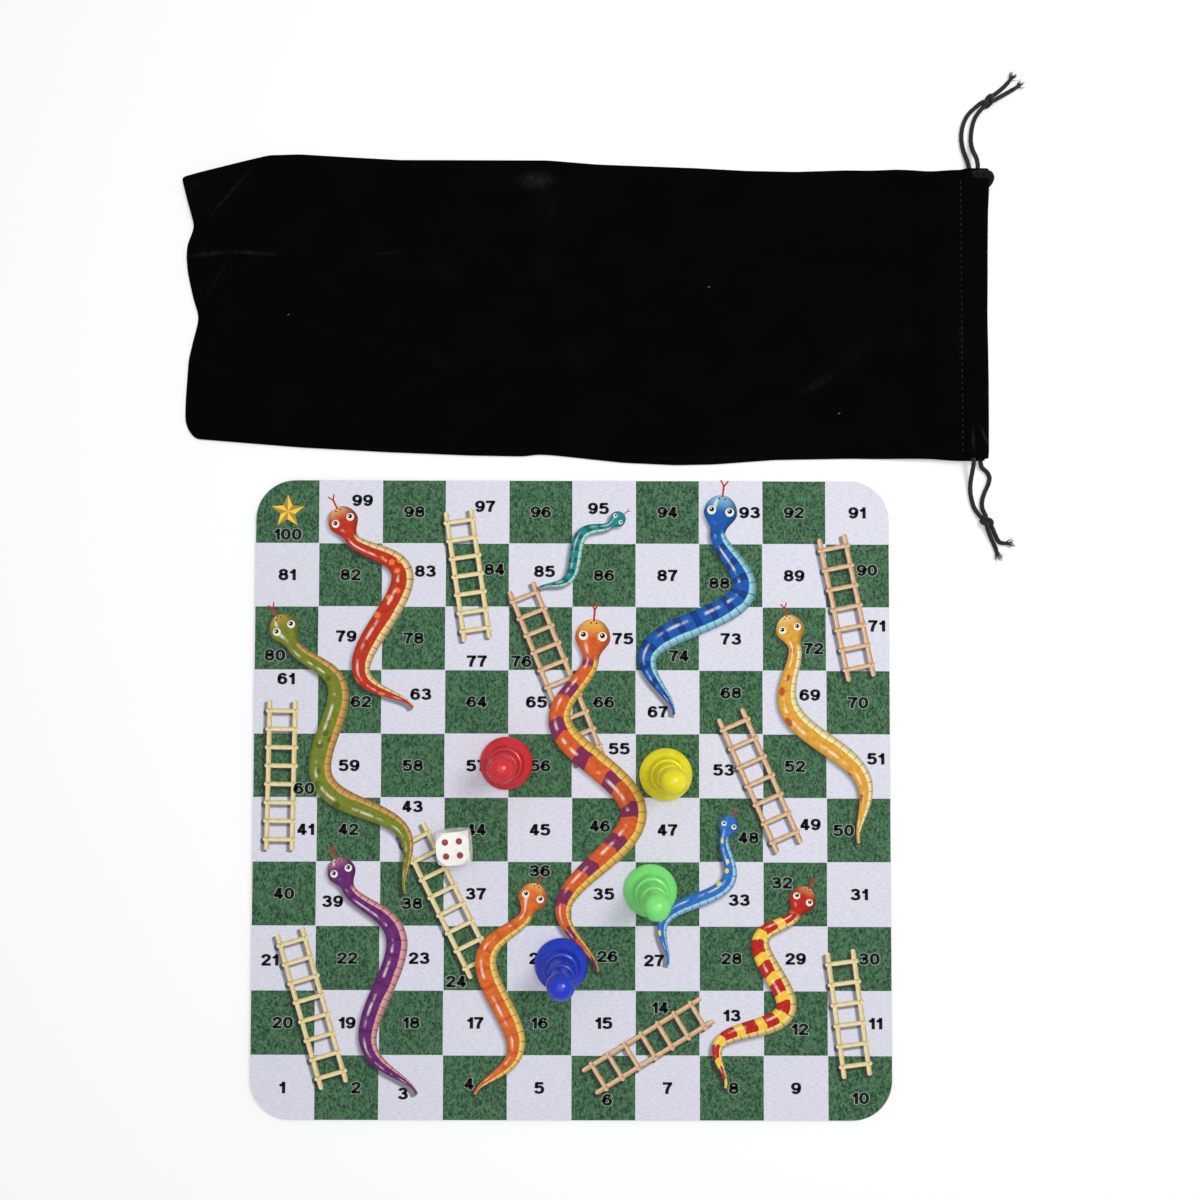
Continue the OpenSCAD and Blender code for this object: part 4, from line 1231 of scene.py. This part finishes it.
class BOARD_OT_pouch(bpy.types.Operator):
    """Sews the velvet pouch: two panels with their hems, stitches, the rolled corner and lint"""

    bl_idname = "board_game.pouch"
    bl_label = "Pouch"

    def velvet_finish(self, pouch):
        """Short pile that takes nearly all light, with painted sheen and brushed pile along its folds and in
        a few marks.
        """
        finish = Finish("black_velvet", 0.95, 0.03)
        nap = finish.noise(finish.place((1, 1.4, 1.4)), 30, 4, 0.6, 0.4)
        pile = finish.noise(finish.place(), 3200, 2, 0.7)
        dark, pale = shaded(pouch.velvet, 0.75), shaded(pouch.velvet, 1.25)
        base = finish.mix(finish.step(nap, 0.35, 0.75), dark, pale)
        base = finish.lay(finish.step(pile, 0.5, 0.8), 0.35, shaded(pouch.velvet, 4), base)
        patchy = finish.step(finish.noise(finish.place((1, 0.6, 1)), 420, 4, 0.7), 0.25, 0.7)
        # Painted sheen along creases and folds, with brushed pile, laid over the velvet mark by mark
        for x, y, half_length, half_width, degrees, share in SHEEN_AND_BRUSHED:
            mark = finish.streak(x * MM, y * MM, half_length * MM, half_width * MM, degrees)
            base = finish.lay(finish.times(mark, patchy), share, tuple(pouch.brushed_pile), base)
        finish.set("Base Color", base)
        finish.set("Sheen Weight", 0.05).set("Sheen Roughness", 0.3).set("Sheen Tint", (0.6, 0.63, 0.66, 1))
        finish.bump(pile, 0.12 * MM, 0.6).bump(nap, 0.3 * MM, 0.3)
        return finish.material

    def outline(self, u, v):
        """Place of a panel's point at a share u of its length and v of its width."""
        x = POUCH_X + POUCH_L * (1 - u) * read_off(CLOSED_EDGE, v) + (STITCH_X - POUCH_X) * u
        low, high = read_off(LOWER_EDGE, u), read_off(UPPER_EDGE, u)
        return x, POUCH_Y + POUCH_W * (low * (1 - v) + high * v)

    def hem_point(self, turn, inner_z, outer_z, sewn_z):
        """A hem's section: out along its outer layer, round the mouth and back to the stitches."""
        t = self.t
        r = abs(outer_z - inner_z) / 2
        straight = MOUTH_X - STITCH_X - t / 2 - r
        path = (2 * straight + math.pi * r) * turn
        if straight < path < straight + math.pi * r:
            a = (path - straight) / r
            middle = (outer_z + inner_z) / 2
            return straight + r * math.sin(a), middle + (outer_z - middle) * math.cos(a)
        if path <= straight:
            x, z, base = path, outer_z, sewn_z
        else:
            x, z = 2 * straight + math.pi * r - path, inner_z
            base = sewn_z + math.copysign(t, inner_z - outer_z)
        return x, base + (z - base) * smooth(x / HEM_EASE)

    def panel(self, name, pouch, front):
        """One velvet layer with its hem, as a net without thickness; returns it with its points' shares."""
        t = self.t
        main = self.main_share
        hem_low, hem_high = (HEM_LOW.z, HEM_HIGH.z) if front else (0, BACK_HEM_HIGH.z)
        outer, inner = hem_high - t / 2, hem_low + t / 2
        if not front:
            outer, inner = inner, outer
        rest = t * 1.5 if front else t / 2
        sewn_z = (hem_low + hem_high) / 2 if front else t / 2
        tuck = FRONT_TUCK if front else BACK_TUCK
        rise = pouch.puff_h if front else 0
        seed = FRONT_SEED if front else BACK_SEED

        def place(s, v):
            u = min(1.0, s / main)
            x, y = self.outline(u, v)
            edge = math.sqrt(max(0.0, math.sin(math.pi * v)))
            late, climb = ramp(u, SINK_SHARES), ramp(u, CLIMB_SHARES)
            lifted = SEAM_RISE * ramp(u, RISE_SHARES) * (1 - late)
            seam = rest + tuck + lifted + (sewn_z - rest - tuck) * late
            middle = rest + rise * smooth(u / PUFF_SHARE) * (1 - climb) + (sewn_z - rest) * climb
            z = seam + (middle - seam) * edge
            if s > main:
                out, z = self.hem_point((s - main) / (1 - main), inner, outer, sewn_z)
                x = STITCH_X + out * read_off(HEM_SHARES, v)
                wave = noise.noise(Vector((x * HEM_WAVES_X, y * HEM_WAVES_Y, seed)))
                z += HEM_WAVE_H * smooth(out / HEM_WAVE_EASE) * wave
            return x, y, max(z, t / 2)

        return grid(name, pouch.steps_along + pouch.hem_steps, pouch.steps_across, place)

    def blown(self, piece, shares, pouch):
        """Lets the spare cloth of the upper layer settle between its seams."""
        hem, low, high = self.main_share - HELD_BY_HEM, HELD_BY_SEAM, 1 - HELD_BY_SEAM
        held = [
            i for i, (s, v) in enumerate(shares) if not HELD_BY_END <= s < hem or not low <= v <= high
        ]
        piece.vertex_groups.new(name="sewn").add(held, 1.0, "REPLACE")
        take(piece)
        bpy.ops.object.modifier_add(type="CLOTH")
        cloth = piece.modifiers[-1]
        settings = {**CLOTH, "shrink_min": -pouch.slack, "uniform_pressure_force": pouch.pressure}
        for key, value in settings.items():
            setattr(cloth.settings, key, value)
        cloth.settings.effector_weights.gravity = CLOTH_GRAVITY
        cloth.collision_settings.use_collision = False
        cloth.point_cache.frame_start, cloth.point_cache.frame_end = 1, pouch.frames
        for moment in range(1, pouch.frames + 1):
            bpy.context.scene.frame_set(moment)
        bpy.ops.object.modifier_apply(modifier=cloth.name)
        bpy.context.scene.frame_set(1)
        piece.vertex_groups.clear()

    def folded(self, piece, shares):
        """Keeps the upper layer above the lower one and lays in the folded corner and the crease."""
        way = (FOLD_END - FOLD_START).normalized()
        for vertex, (s, _) in zip(piece.data.vertices, shares):
            if s > self.main_share:
                continue
            co = vertex.co
            past = turned(way).dot(co.xy - FOLD_START)
            fold = smooth((FOLD_REACH - past) / FOLD_SOFTNESS) * smooth((co.y - FOLD_FADE_Y) / FOLD_FADE)
            across = (co.y - CREASE_Y - CREASE_SLOPE * (co.x - CREASE_X)) / CREASE_HALF_W
            ridge = math.exp(-across ** 2) * smooth((CREASE_FADE_X - co.x) / CREASE_FADE)
            co.z = max(co.z, self.t * 1.5 + FRONT_TUCK) + FOLD_H * fold + CREASE_H * ridge

    def thickened(self, piece):
        """Gives a layer its thickness, thinner at its cut edges, and rounds it."""
        with editing(piece, "DESELECT"):
            bpy.ops.mesh.select_non_manifold()
        vertices = piece.data.vertices
        group = piece.vertex_groups.new(name="full")
        group.add([v.index for v in vertices if not v.select], 1.0, "REPLACE")
        group.add([v.index for v in vertices if v.select], CUT_EDGE_SHARE, "REPLACE")
        finish_with(piece, "SUBSURF", levels=1, render_levels=1)
        finish_with(piece, "SOLIDIFY", thickness=self.t, offset=0, vertex_group="full")
        piece.vertex_groups.clear()
        return smoothed(piece, 60)

    def stitches(self, pouch):
        """A row of stitches along the front hem, each a short thread that dives in at its ends."""
        count = int((UPPER_SEAM - LOWER_SEAM - STITCH_MARGINS) / pouch.stitch_pitch)
        z = (HEM_LOW.z + HEM_HIGH.z) / 2 + self.t / 2
        half, d = pouch.stitch_l / 2, pouch.thread_d
        route = [
            Vector((0, half * k, d * (STITCH_TOP_SHARE - STITCH_DIVE_SHARE * k ** 4))) for k in STITCH_SHARES
        ]
        start = Vector((STITCH_X + STITCH_PAST, LOWER_SEAM + STITCH_START, z))
        places = [Matrix.Translation(start + Vector((0, i * pouch.stitch_pitch, 0))) for i in range(count)]
        return copies(tube("stitch", route, d / 2, sides=2), places, "hem_stitches")

    def rolled_corner(self):
        """The turned-over upper end of the front hem, a small roll that stands past the mouth."""
        places = smooth_route([from_corner(UPPER_SEAM, p) for p in ROLL], ROLL_STEP)
        radii = []
        for i in range(len(places)):
            swell = ROLL_START_SHARE + ROLL_SWELL_SHARE * ramp(i / len(places), ROLL_SWELL_SPAN)
            radii.append(swell * (1 - ROLL_TAPER_SHARE * ramp(i / len(places), ROLL_TAPER_SPAN)))
        roll = tube("pouch_rolled_corner", places, ROLL_R, radii=radii, sides=6)
        for vertex in roll.data.vertices:
            for axis, height, waves in ROLL_BUMPS:
                vertex.co[axis] += height * noise.noise(vertex.co * waves)
        return roll

    def lint(self, heights):
        """Three pale specks that lie on the upper panel."""
        specks = []
        for x, y, size in LINT:
            nearest = np.argmin(np.hypot(heights[:, 0] - x * MM, heights[:, 1] - y * MM))
            start = Vector((x * MM, y * MM, heights[nearest, 2] + self.t / 2))
            way = Vector((size, LINT_SLOPE * size, 0)) * MM
            route = [start - way, start + Vector((0, 0, LINT_RISE)), start + way]
            specks.append(tube("speck", route, LINT_R, sides=1))
        return joined(specks, "pouch_lint")

    def execute(self, context):
        pouch = context.scene.pouch
        self.t = pouch.velvet_t
        self.main_share = pouch.steps_along / (pouch.steps_along + pouch.hem_steps)
        velvet = self.velvet_finish(pouch)
        front, shares = self.panel("pouch_front_velvet", pouch, True)
        self.blown(front, shares, pouch)
        self.folded(front, shares)
        heights = np.array([tuple(v.co) for v in front.data.vertices])
        back, _ = self.panel("pouch_back_velvet", pouch, False)
        for piece, node, under in ((front, "pouch_front", ["pouch_back_velvet"]), (back, "pouch_back", [])):
            dress(self.thickened(piece), velvet, "pouch", [node + "_panel", node + "_casing"])
            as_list(under)

        thread = Finish("hem_thread", 0.6, 0.4)
        twist = thread.noise(thread.place((1, 3, 1)), 1800, 3)
        thread.set("Base Color", thread.mix(twist, shaded(pouch.thread, 0.6), tuple(pouch.thread)))
        dress(self.stitches(pouch), thread.material, "pouch")

        # The roll's velvet is painted several times lighter than the flat panels: a painted sheen of its pile
        rolled = Finish("rolled_velvet_sheen", 0.95, 0.15)
        nap = rolled.step(rolled.noise(rolled.place(), 700, 4, 0.7), 0.3, 0.7)
        rolled.set("Base Color", rolled.mix(nap, shaded(pouch.velvet, 2.4), shaded(pouch.velvet, 12)))
        rolled.bump(nap, 0.4 * MM)
        dress(self.rolled_corner(), rolled.material, "pouch")

        fuzz = Finish("lint_fibre", 0.8, 0.2)
        patches = fuzz.noise(fuzz.place(), 2000)
        fuzz.set("Base Color", fuzz.mix(patches, tuple(pouch.lint), shaded(pouch.lint, 0.6)))
        dress(self.lint(heights), fuzz.material, "pouch")
        return {"FINISHED"}


class BOARD_OT_backing(bpy.types.Operator):
    """Finishes the foam rubber sheet under the cloth"""

    bl_idname = "board_game.backing"
    bl_label = "Rubber backing"

    def execute(self, context):
        rubber = context.scene.board.rubber
        finish = Finish("foam_rubber", 0.82, 0.3)
        place = finish.place()
        pores = finish.cells(place, 1400)
        spread = finish.step(pores, 0.15, 0.6)
        finish.set("Base Color", finish.mix(spread, tuple(rubber), shaded(rubber, 1.9)))
        finish.bump(pores, 0.12 * MM).bump(finish.noise(place, 500, 3), 0.08 * MM)
        dress(NODES["mat_backing"], finish.material)
        return {"FINISHED"}


class BOARD_OT_cloth(bpy.types.Operator):
    """Finishes the woven face and its fifty green squares"""

    bl_idname = "board_game.cloth"
    bl_label = "Cloth and green squares"

    def execute(self, context):
        board = context.scene.board
        pale, dark, light = tuple(board.cloth_white), tuple(board.green_dark), tuple(board.green_light)

        def white(finish):
            threads = finish.noise(finish.place((1, 5, 1)), 380, 3, 0.6)
            face = finish.mix(finish.step(threads, 0.3, 0.75), pale, shaded(pale, 0.82))
            return finish.lay(finish.noise(finish.place(), 9, 2), 0.12, (0.5, 0.48, 0.56, 1), face)

        def grass(finish):
            place = finish.place()
            blades = finish.noise(finish.place((1.5, 1, 1)), 600, 4, 0.75, 0.4)
            field = finish.mix(finish.step(blades, 0.36, 0.62), dark, light)
            deep = finish.step(finish.noise(place, 420, 3, 0.7), 0.56, 0.68)
            field = finish.lay(deep, 0.55, (0.008, 0.035, 0.018, 1), field)
            return finish.lay(finish.noise(place, 12, 2), 0.2, (0.03, 0.12, 0.06, 1), field)

        dress(NODES["mat_cloth"], printed("woven_face", board, white))
        dress(NODES["green_squares"], printed("grass_print", board, grass))
        return {"FINISHED"}


class BOARD_OT_ladders(bpy.types.Operator):
    """Draws the nine printed ladders with their nails and shadows"""

    bl_idname = "board_game.ladders"
    bl_label = "Ladders"

    def execute(self, context):
        board = context.scene.board
        pale = printed("pale_wood_print", board, wood_ink("#efe3ae", "#d3b577"))
        tan = printed("tan_wood_print", board, wood_ink("#e6c39a", "#c08d62"))
        covered = np.array([circle for snake in SNAKES for circle in Snake(snake[0]).circles()])
        rail_w, rung_w = board.rail_w + 2 * board.ink_edge, board.rung_w + 2 * board.ink_edge
        offset = (board.ladder_w - board.rail_w) / 2
        nails, shadows = [], []

        def bar(kind, start, end, width):
            bars.append(strip(kind, start, end, width, layer_z(kind, board), DYE_DEPTH))
            start, end = start + LADDER_SHADOW_FALL, end + LADDER_SHADOW_FALL
            z = layer_z(kind + "_shadow", board)
            shadows.append(strip("shadow", start, end, width * LADDER_SHADOW_SHARE, z))

        for index, ladder in enumerate(LADDERS):
            foot, top = on_board(*ladder[:2]), on_board(*ladder[2:])
            run = top - foot
            way, across = run.normalized(), turned(run.normalized())
            bars = []
            for side in (-1, 1):
                aside, past = across * side * offset, way * LADDER_OVERRUN
                bar("rail", foot + aside - past, top + aside + past, rail_w)
            rungs = math.floor(run.length / board.rung_pitch)
            reach = across * (board.ladder_w / 2 + LADDER_OVERRUN)
            for i in range(rungs):
                middle = foot + run * (i + 0.5) / rungs
                bar("rung", middle - reach, middle + reach, rung_w)
                for side in (-1, 1):
                    nails.append((middle + across * side * offset + way * NAIL_RISE, board.nail_r))
            wood = pale if index in PALE_LADDERS else tan
            dress(joined(bars, f"ladder_{index + 1}"), wood, "mat", ["ladders"])
        free = [
            (p, r) for p, r in nails
            if np.min(np.hypot(covered[:, 0] - p.x, covered[:, 1] - p.y) - covered[:, 2]) > r
        ]
        heads = dots("ladder_nails", free, layer_z("nail", board))
        dress(heads, printed("nail_print", board, plain_ink(colour("#6b4a2c"))), "mat")
        dress(joined(shadows, "ladder_shadows"), shadow_print("ladder_shadow_print"), "mat")
        return {"FINISHED"}


class BOARD_OT_snakes(bpy.types.Operator):
    """Draws the ten printed snakes with their shadows, eyes and tongues"""

    bl_idname = "board_game.snakes"
    bl_label = "Snakes"

    def execute(self, context):
        board = context.scene.board
        whites, pupils, glints, tongues, shadows = [], [], [], [], []
        for shares, name, back, mark, belly, pattern, pitch, node in SNAKES:
            snake = Snake(shares)
            piece, body_l = snake_piece(name, snake, board, "snake", depth=DYE_DEPTH)
            ink = snake_ink(back, mark, belly, pattern, pitch, body_l)
            dress(piece, printed(name + "_print", board, ink), "mat", [node])
            shadow, _ = snake_piece("shadow", snake, board, "snake_shadow", board.shadow_w, SNAKE_SHADOW_FALL)
            shadows.append(shadow)
            r, way = snake.full_half, snake.way(1)
            for side in (-1, 1):
                eye = snake.on_head(EYE_PLACE[0], side * EYE_PLACE[1])
                nostril = snake.on_head(NOSTRIL_PLACE[0], side * NOSTRIL_PLACE[1])
                glint = eye + way * r * GLINT_AHEAD + turned(way) * r * GLINT_ASIDE
                whites.append((eye, r * EYE_R_SHARE))
                pupils.append((eye + way * r * PUPIL_AHEAD, r * PUPIL_R_SHARE))
                pupils.append((nostril, r * NOSTRIL_R_SHARE))
                glints.append((glint, r * GLINT_R_SHARE))
            root, fork = snake.on_head(TONGUE_ROOT, 0), snake.on_head(TONGUE_FORK, 0)
            width = max(TONGUE_MIN_W, r * TONGUE_W_SHARE)
            z = layer_z("tongue", board)
            tongues.append(strip("stem", root, fork, width, z, TONGUE_T))
            for side in (-1, 1):
                tip = fork + (way + turned(way) * side * PRONG_SPREAD) * r * PRONG_L_SHARE
                start = fork - way * width * PRONG_LAP_SHARE
                tongues.append(strip("prong", start, tip, width * PRONG_W_SHARE, z, TONGUE_T))
        tongue = printed("tongue_print", board, plain_ink(colour("#c22c30")))
        dress(joined(tongues, "snake_tongues"), tongue, "mat")
        dress(joined(shadows, "snake_shadows"), shadow_print("snake_shadow_print"), "mat")
        for name, spots, layer, code in (
            ("snake_eyes", whites, "eye", "#f2efdf"),
            ("snake_pupils", pupils, "pupil", "#17120f"),
            ("snake_eye_glints", glints, "glint", "#ffffff"),
        ):
            ink = printed(name + "_print", board, plain_ink(colour(code)))
            dress(dots(name, spots, layer_z(layer, board)), ink, "mat")
        return {"FINISHED"}


class BOARD_OT_star(bpy.types.Operator):
    """Finishes the star on the last square with light and dark facets"""

    bl_idname = "board_game.star"
    bl_label = "Finish star"

    def execute(self, context):
        board = context.scene.board
        middle = on_board(0.5, SQUARES - 0.5)

        def facets(finish):
            place = finish.place(at=(middle.x, middle.y, 0))
            angle = finish.sum("ARCTAN2", finish.part(place, "X"), finish.part(place, "Y"))
            turn = finish.sum("FRACT", finish.times(angle, 5 / (2 * math.pi)))
            edge = finish.step(turn, 0.49, 0.51)
            return finish.mix(edge, shaded(board.gold, 1.25), shaded(board.gold, 0.55))

        dress(NODES["finish_star"], printed("gold_print", board, facets))
        return {"FINISHED"}


class BOARD_OT_numbers(bpy.types.Operator):
    """Sets the numbers 1 to 100, each in the clearest part of its square"""

    bl_idname = "board_game.numbers"
    bl_label = "Numbers"

    def stroke(self, kind, points, board, extra):
        """One stroke of a digit as a flat bar of even width that follows its points."""
        w = board.digit_stroke
        box = board.digit_w - w, board.digit_h - w
        route = [Vector((w / 2 + x * box[0], w / 2 + y * box[1], 0)) for x, y in points]
        closed = kind == "ring"
        if kind != "line":
            route = smooth_route(route, DIGIT_STEP, closed)
        last = len(route) - 1
        bends = []
        for i in range(last + 1):
            if closed:
                bend = route[(i + 1) % last] - route[(i - 1) % last]
            else:
                bend = route[min(i + 1, last)] - route[max(i - 1, 0)]
            bends.append(bend.normalized())
        if not closed:
            route[0] = route[0] - bends[0] * extra
            route[-1] = route[-1] + bends[-1] * extra
        half = w / 2 + extra

        def place(u, v):
            i = round(u * last)
            return route[i] + Vector((-bends[i].y, bends[i].x, 0)) * (2 * v - 1) * half

        return grid("stroke", last, 1, place)[0]

    def digit(self, text, board, extra):
        """One digit as thin bars, widened, its strokes grown by an extra on all sides."""
        strokes = [self.stroke(kind, points, board, extra) for kind, *points in DIGITS[text]]
        piece = thicken_down(joined(strokes, "digit"), DIGIT_T)
        piece.scale.x = board.digit_stretch
        return settle(piece)

    def on_mat(self, place, half):
        """Whether a number's box stays a little inside the mat's rounded outline."""
        inner = SQUARE * SQUARES / 2 - MAT_CORNER_R
        middle = (CLOTH_LOW + CLOTH_HIGH) / 2
        x, y = abs(place.x - middle.x) + half[0] - inner, abs(place.y - middle.y) + half[1] - inner
        return math.hypot(max(0, x), max(0, y)) < MAT_CORNER_R - RIM_GAP

    def clear_place(self, column, row, half, obstacles):
        """The place nearest the middle of a square where a number stands clear, or else the clearest one."""
        best, best_room = on_board(column + 0.5, row + 0.5), -1.0
        steps = np.linspace(-SEARCH_SHARE, SEARCH_SHARE, SEARCH_STEPS)
        for x, y in sorted(((x, y) for x in steps for y in steps), key=lambda p: math.hypot(*p)):
            place = on_board(column + 0.5 + x, row + 0.5 + y)
            past = max(abs(x) * SQUARE + half[0], abs(y) * SQUARE + half[1]) - SQUARE / 2
            if past > -SQUARE_GAP or not self.on_mat(place, half):
                continue
            gap = np.maximum(np.abs(obstacles[:, :2] - np.array(place)) - np.array(half), 0)
            room = np.min(np.hypot(gap[:, 0], gap[:, 1]) - obstacles[:, 2])
            if room > SHAPE_GAP:
                return place
            if room > best_room:
                best, best_room = place, room
        return best

    def execute(self, context):
        board = context.scene.board
        obstacles = [circle for snake in SNAKES for circle in Snake(snake[0]).circles()]
        obstacles += [circle for ladder in LADDERS for circle in ladder_circles(ladder, board.ladder_w)]
        low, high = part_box("finish_star")
        obstacles = np.array(obstacles + [(*((low + high) / 2).xy, (high.x - low.x) / 2)])
        masters = {d: self.digit(d, board, 0) for d in DIGITS}
        pales = {d: self.digit(d, board, board.halo_w) for d in DIGITS}
        spans = {}
        for d, master in masters.items():
            xs = [v.co.x for v in master.data.vertices]
            spans[d] = min(xs), max(xs)
        blacks, halos = [], []
        for value in range(1, SQUARES ** 2 + 1):
            row, step = divmod(value - 1, SQUARES)
            column = step if row % 2 == 0 else SQUARES - 1 - step
            text = str(value)
            width = sum(spans[d][1] - spans[d][0] for d in text) + board.digit_gap * (len(text) - 1)
            place = self.clear_place(column, row, (width / 2, board.digit_h / 2), obstacles)
            x, y = place.x - width / 2, place.y - board.digit_h / 2
            for d in text:
                low, high = spans[d]
                blacks.append(copy_at(masters[d], Matrix.Translation((x - low, y, layer_z("number", board)))))
                if (column + row) % 2 == 1:
                    halos.append(copy_at(pales[d], Matrix.Translation((x - low, y, layer_z("halo", board)))))
                x += high - low + board.digit_gap
        for master in [*masters.values(), *pales.values()]:
            bpy.data.objects.remove(master)
        pale = printed("halo_print", board, plain_ink(tuple(board.halo)))
        black = printed("number_print", board, plain_ink(tuple(board.ink_black)))
        dress(joined(halos, "number_halos"), pale, "mat")
        dress(joined(blacks, "square_numbers"), black, "mat")
        return {"FINISHED"}


def plastic(name, shade, roughness):
    """Glossy moulded plastic with a faint orange-peel skin and small differences of gloss."""
    finish = Finish(name, roughness, 0.5)
    place = finish.place()
    patchy = finish.step(finish.noise(place, 140, 4, 0.6), 0.35, 0.75)
    finish.set("Base Color", finish.mix(patchy, tuple(shade), shaded(shade, 0.86)))
    finish.set("Roughness", finish.plus(finish.times(patchy, 0.1), roughness))
    finish.set("Subsurface Weight", 0.12).set("Subsurface Scale", 0.002)
    finish.bump(finish.noise(place, 260, 2), 0.05 * MM).bump(finish.noise(place, 1500, 2), 0.008 * MM)
    return finish.material


class BOARD_OT_pawns(bpy.types.Operator):
    """Turns the four hollow pawns, each in glossy plastic"""

    bl_idname = "board_game.pawns"
    bl_label = "Pawns"

    def turned_pawn(self):
        """The profile, smooth outside and plain in the hollow, spun round the upright axis."""
        wall = [Vector((r, 0, z)) * MM for r, z in PAWN_WALL]
        foot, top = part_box("red_pawn")
        head_z = (top.z - foot.z) / MM - PAWN_HEAD_R
        low = math.asin(PAWN_WALL[-1][0] / PAWN_HEAD_R)
        ball = []
        for i in range(PAWN_HEAD_STEPS + 1):
            a = low + (math.pi - low) * i / PAWN_HEAD_STEPS
            ball.append(Vector((PAWN_HEAD_R * math.sin(a), 0, head_z - PAWN_HEAD_R * math.cos(a))) * MM)
        profile = [Vector((r, 0, z)) * MM for r, z in PAWN_HOLLOW] + smooth_route(wall, PAWN_WALL_STEP) + ball
        profile[0].x = profile[-1].x = 0
        take(curve_through("pawn", profile)[0])
        bpy.ops.object.convert(target="MESH")
        piece = finish_with(
            made("pawn"), "SCREW", axis="Z", steps=PAWN_STEPS_ROUND, render_steps=PAWN_STEPS_ROUND,
            use_merge_vertices=True, merge_threshold=PAWN_MERGE,
        )
        with editing(piece):
            bpy.ops.mesh.normals_make_consistent(inside=False)
        return smoothed(piece, 50)

    def execute(self, context):
        master = self.turned_pawn()
        for name in ("red", "yellow", "green", "blue"):
            low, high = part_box(name + "_pawn")
            middle = (low + high) / 2
            piece = settle(copy_at(master, Matrix.Translation((middle.x, middle.y, low.z))))
            piece.name = piece.data.name = name + "_pawn_turned"
            shade = getattr(context.scene.pieces, name)
            skin = plastic(name + "_pawn_plastic", shade, 0.2)
            dress(piece, skin, name + "_pawn", [name + "_pawn"])
        bpy.data.objects.remove(master)
        return {"FINISHED"}


class BOARD_OT_die(bpy.types.Operator):
    """Finishes the die and the paint in its pips"""

    bl_idname = "board_game.die"
    bl_label = "Die"

    def execute(self, context):
        dress(NODES["die"], plastic("die_plastic", context.scene.pieces.die, 0.3))
        dress(NODES["die_pips"], plastic("pip_paint", context.scene.pieces.pip, 0.22))
        return {"FINISHED"}


class BOARD_PT_panel(bpy.types.Panel):
    """Lists the set's pieces in the sidebar"""

    bl_label = "Snakes and ladders"
    bl_idname = "BOARD_PT_panel"
    bl_space_type = "VIEW_3D"
    bl_region_type = "UI"
    bl_category = "Board game"

    def draw(self, context):
        for operator in OPERATORS:
            self.layout.operator(operator.bl_idname)


SETTINGS = {
    "board": BoardSettings,
    "pieces": PieceSettings,
    "pouch": PouchSettings,
    "strings": StringSettings,
    "stage": StageSettings,
}
OPERATORS = (
    BOARD_OT_stage,
    BOARD_OT_strings,
    BOARD_OT_pouch,
    BOARD_OT_backing,
    BOARD_OT_cloth,
    BOARD_OT_ladders,
    BOARD_OT_snakes,
    BOARD_OT_star,
    BOARD_OT_numbers,
    BOARD_OT_pawns,
    BOARD_OT_die,
)


def register():
    for group in SETTINGS.values():
        bpy.utils.register_class(group)
    for cls in OPERATORS + (BOARD_PT_panel,):
        bpy.utils.register_class(cls)
    for name, group in SETTINGS.items():
        setattr(bpy.types.Scene, name, PointerProperty(type=group))


def unregister():
    for name in SETTINGS:
        delattr(bpy.types.Scene, name)
    for cls in reversed(OPERATORS + (BOARD_PT_panel,)):
        bpy.utils.unregister_class(cls)
    for group in SETTINGS.values():
        bpy.utils.unregister_class(group)


def main():
    register()
    for operator in OPERATORS:
        family, name = operator.bl_idname.split(".")
        getattr(getattr(bpy.ops, family), name)()


if __name__ == "__main__":
    main()
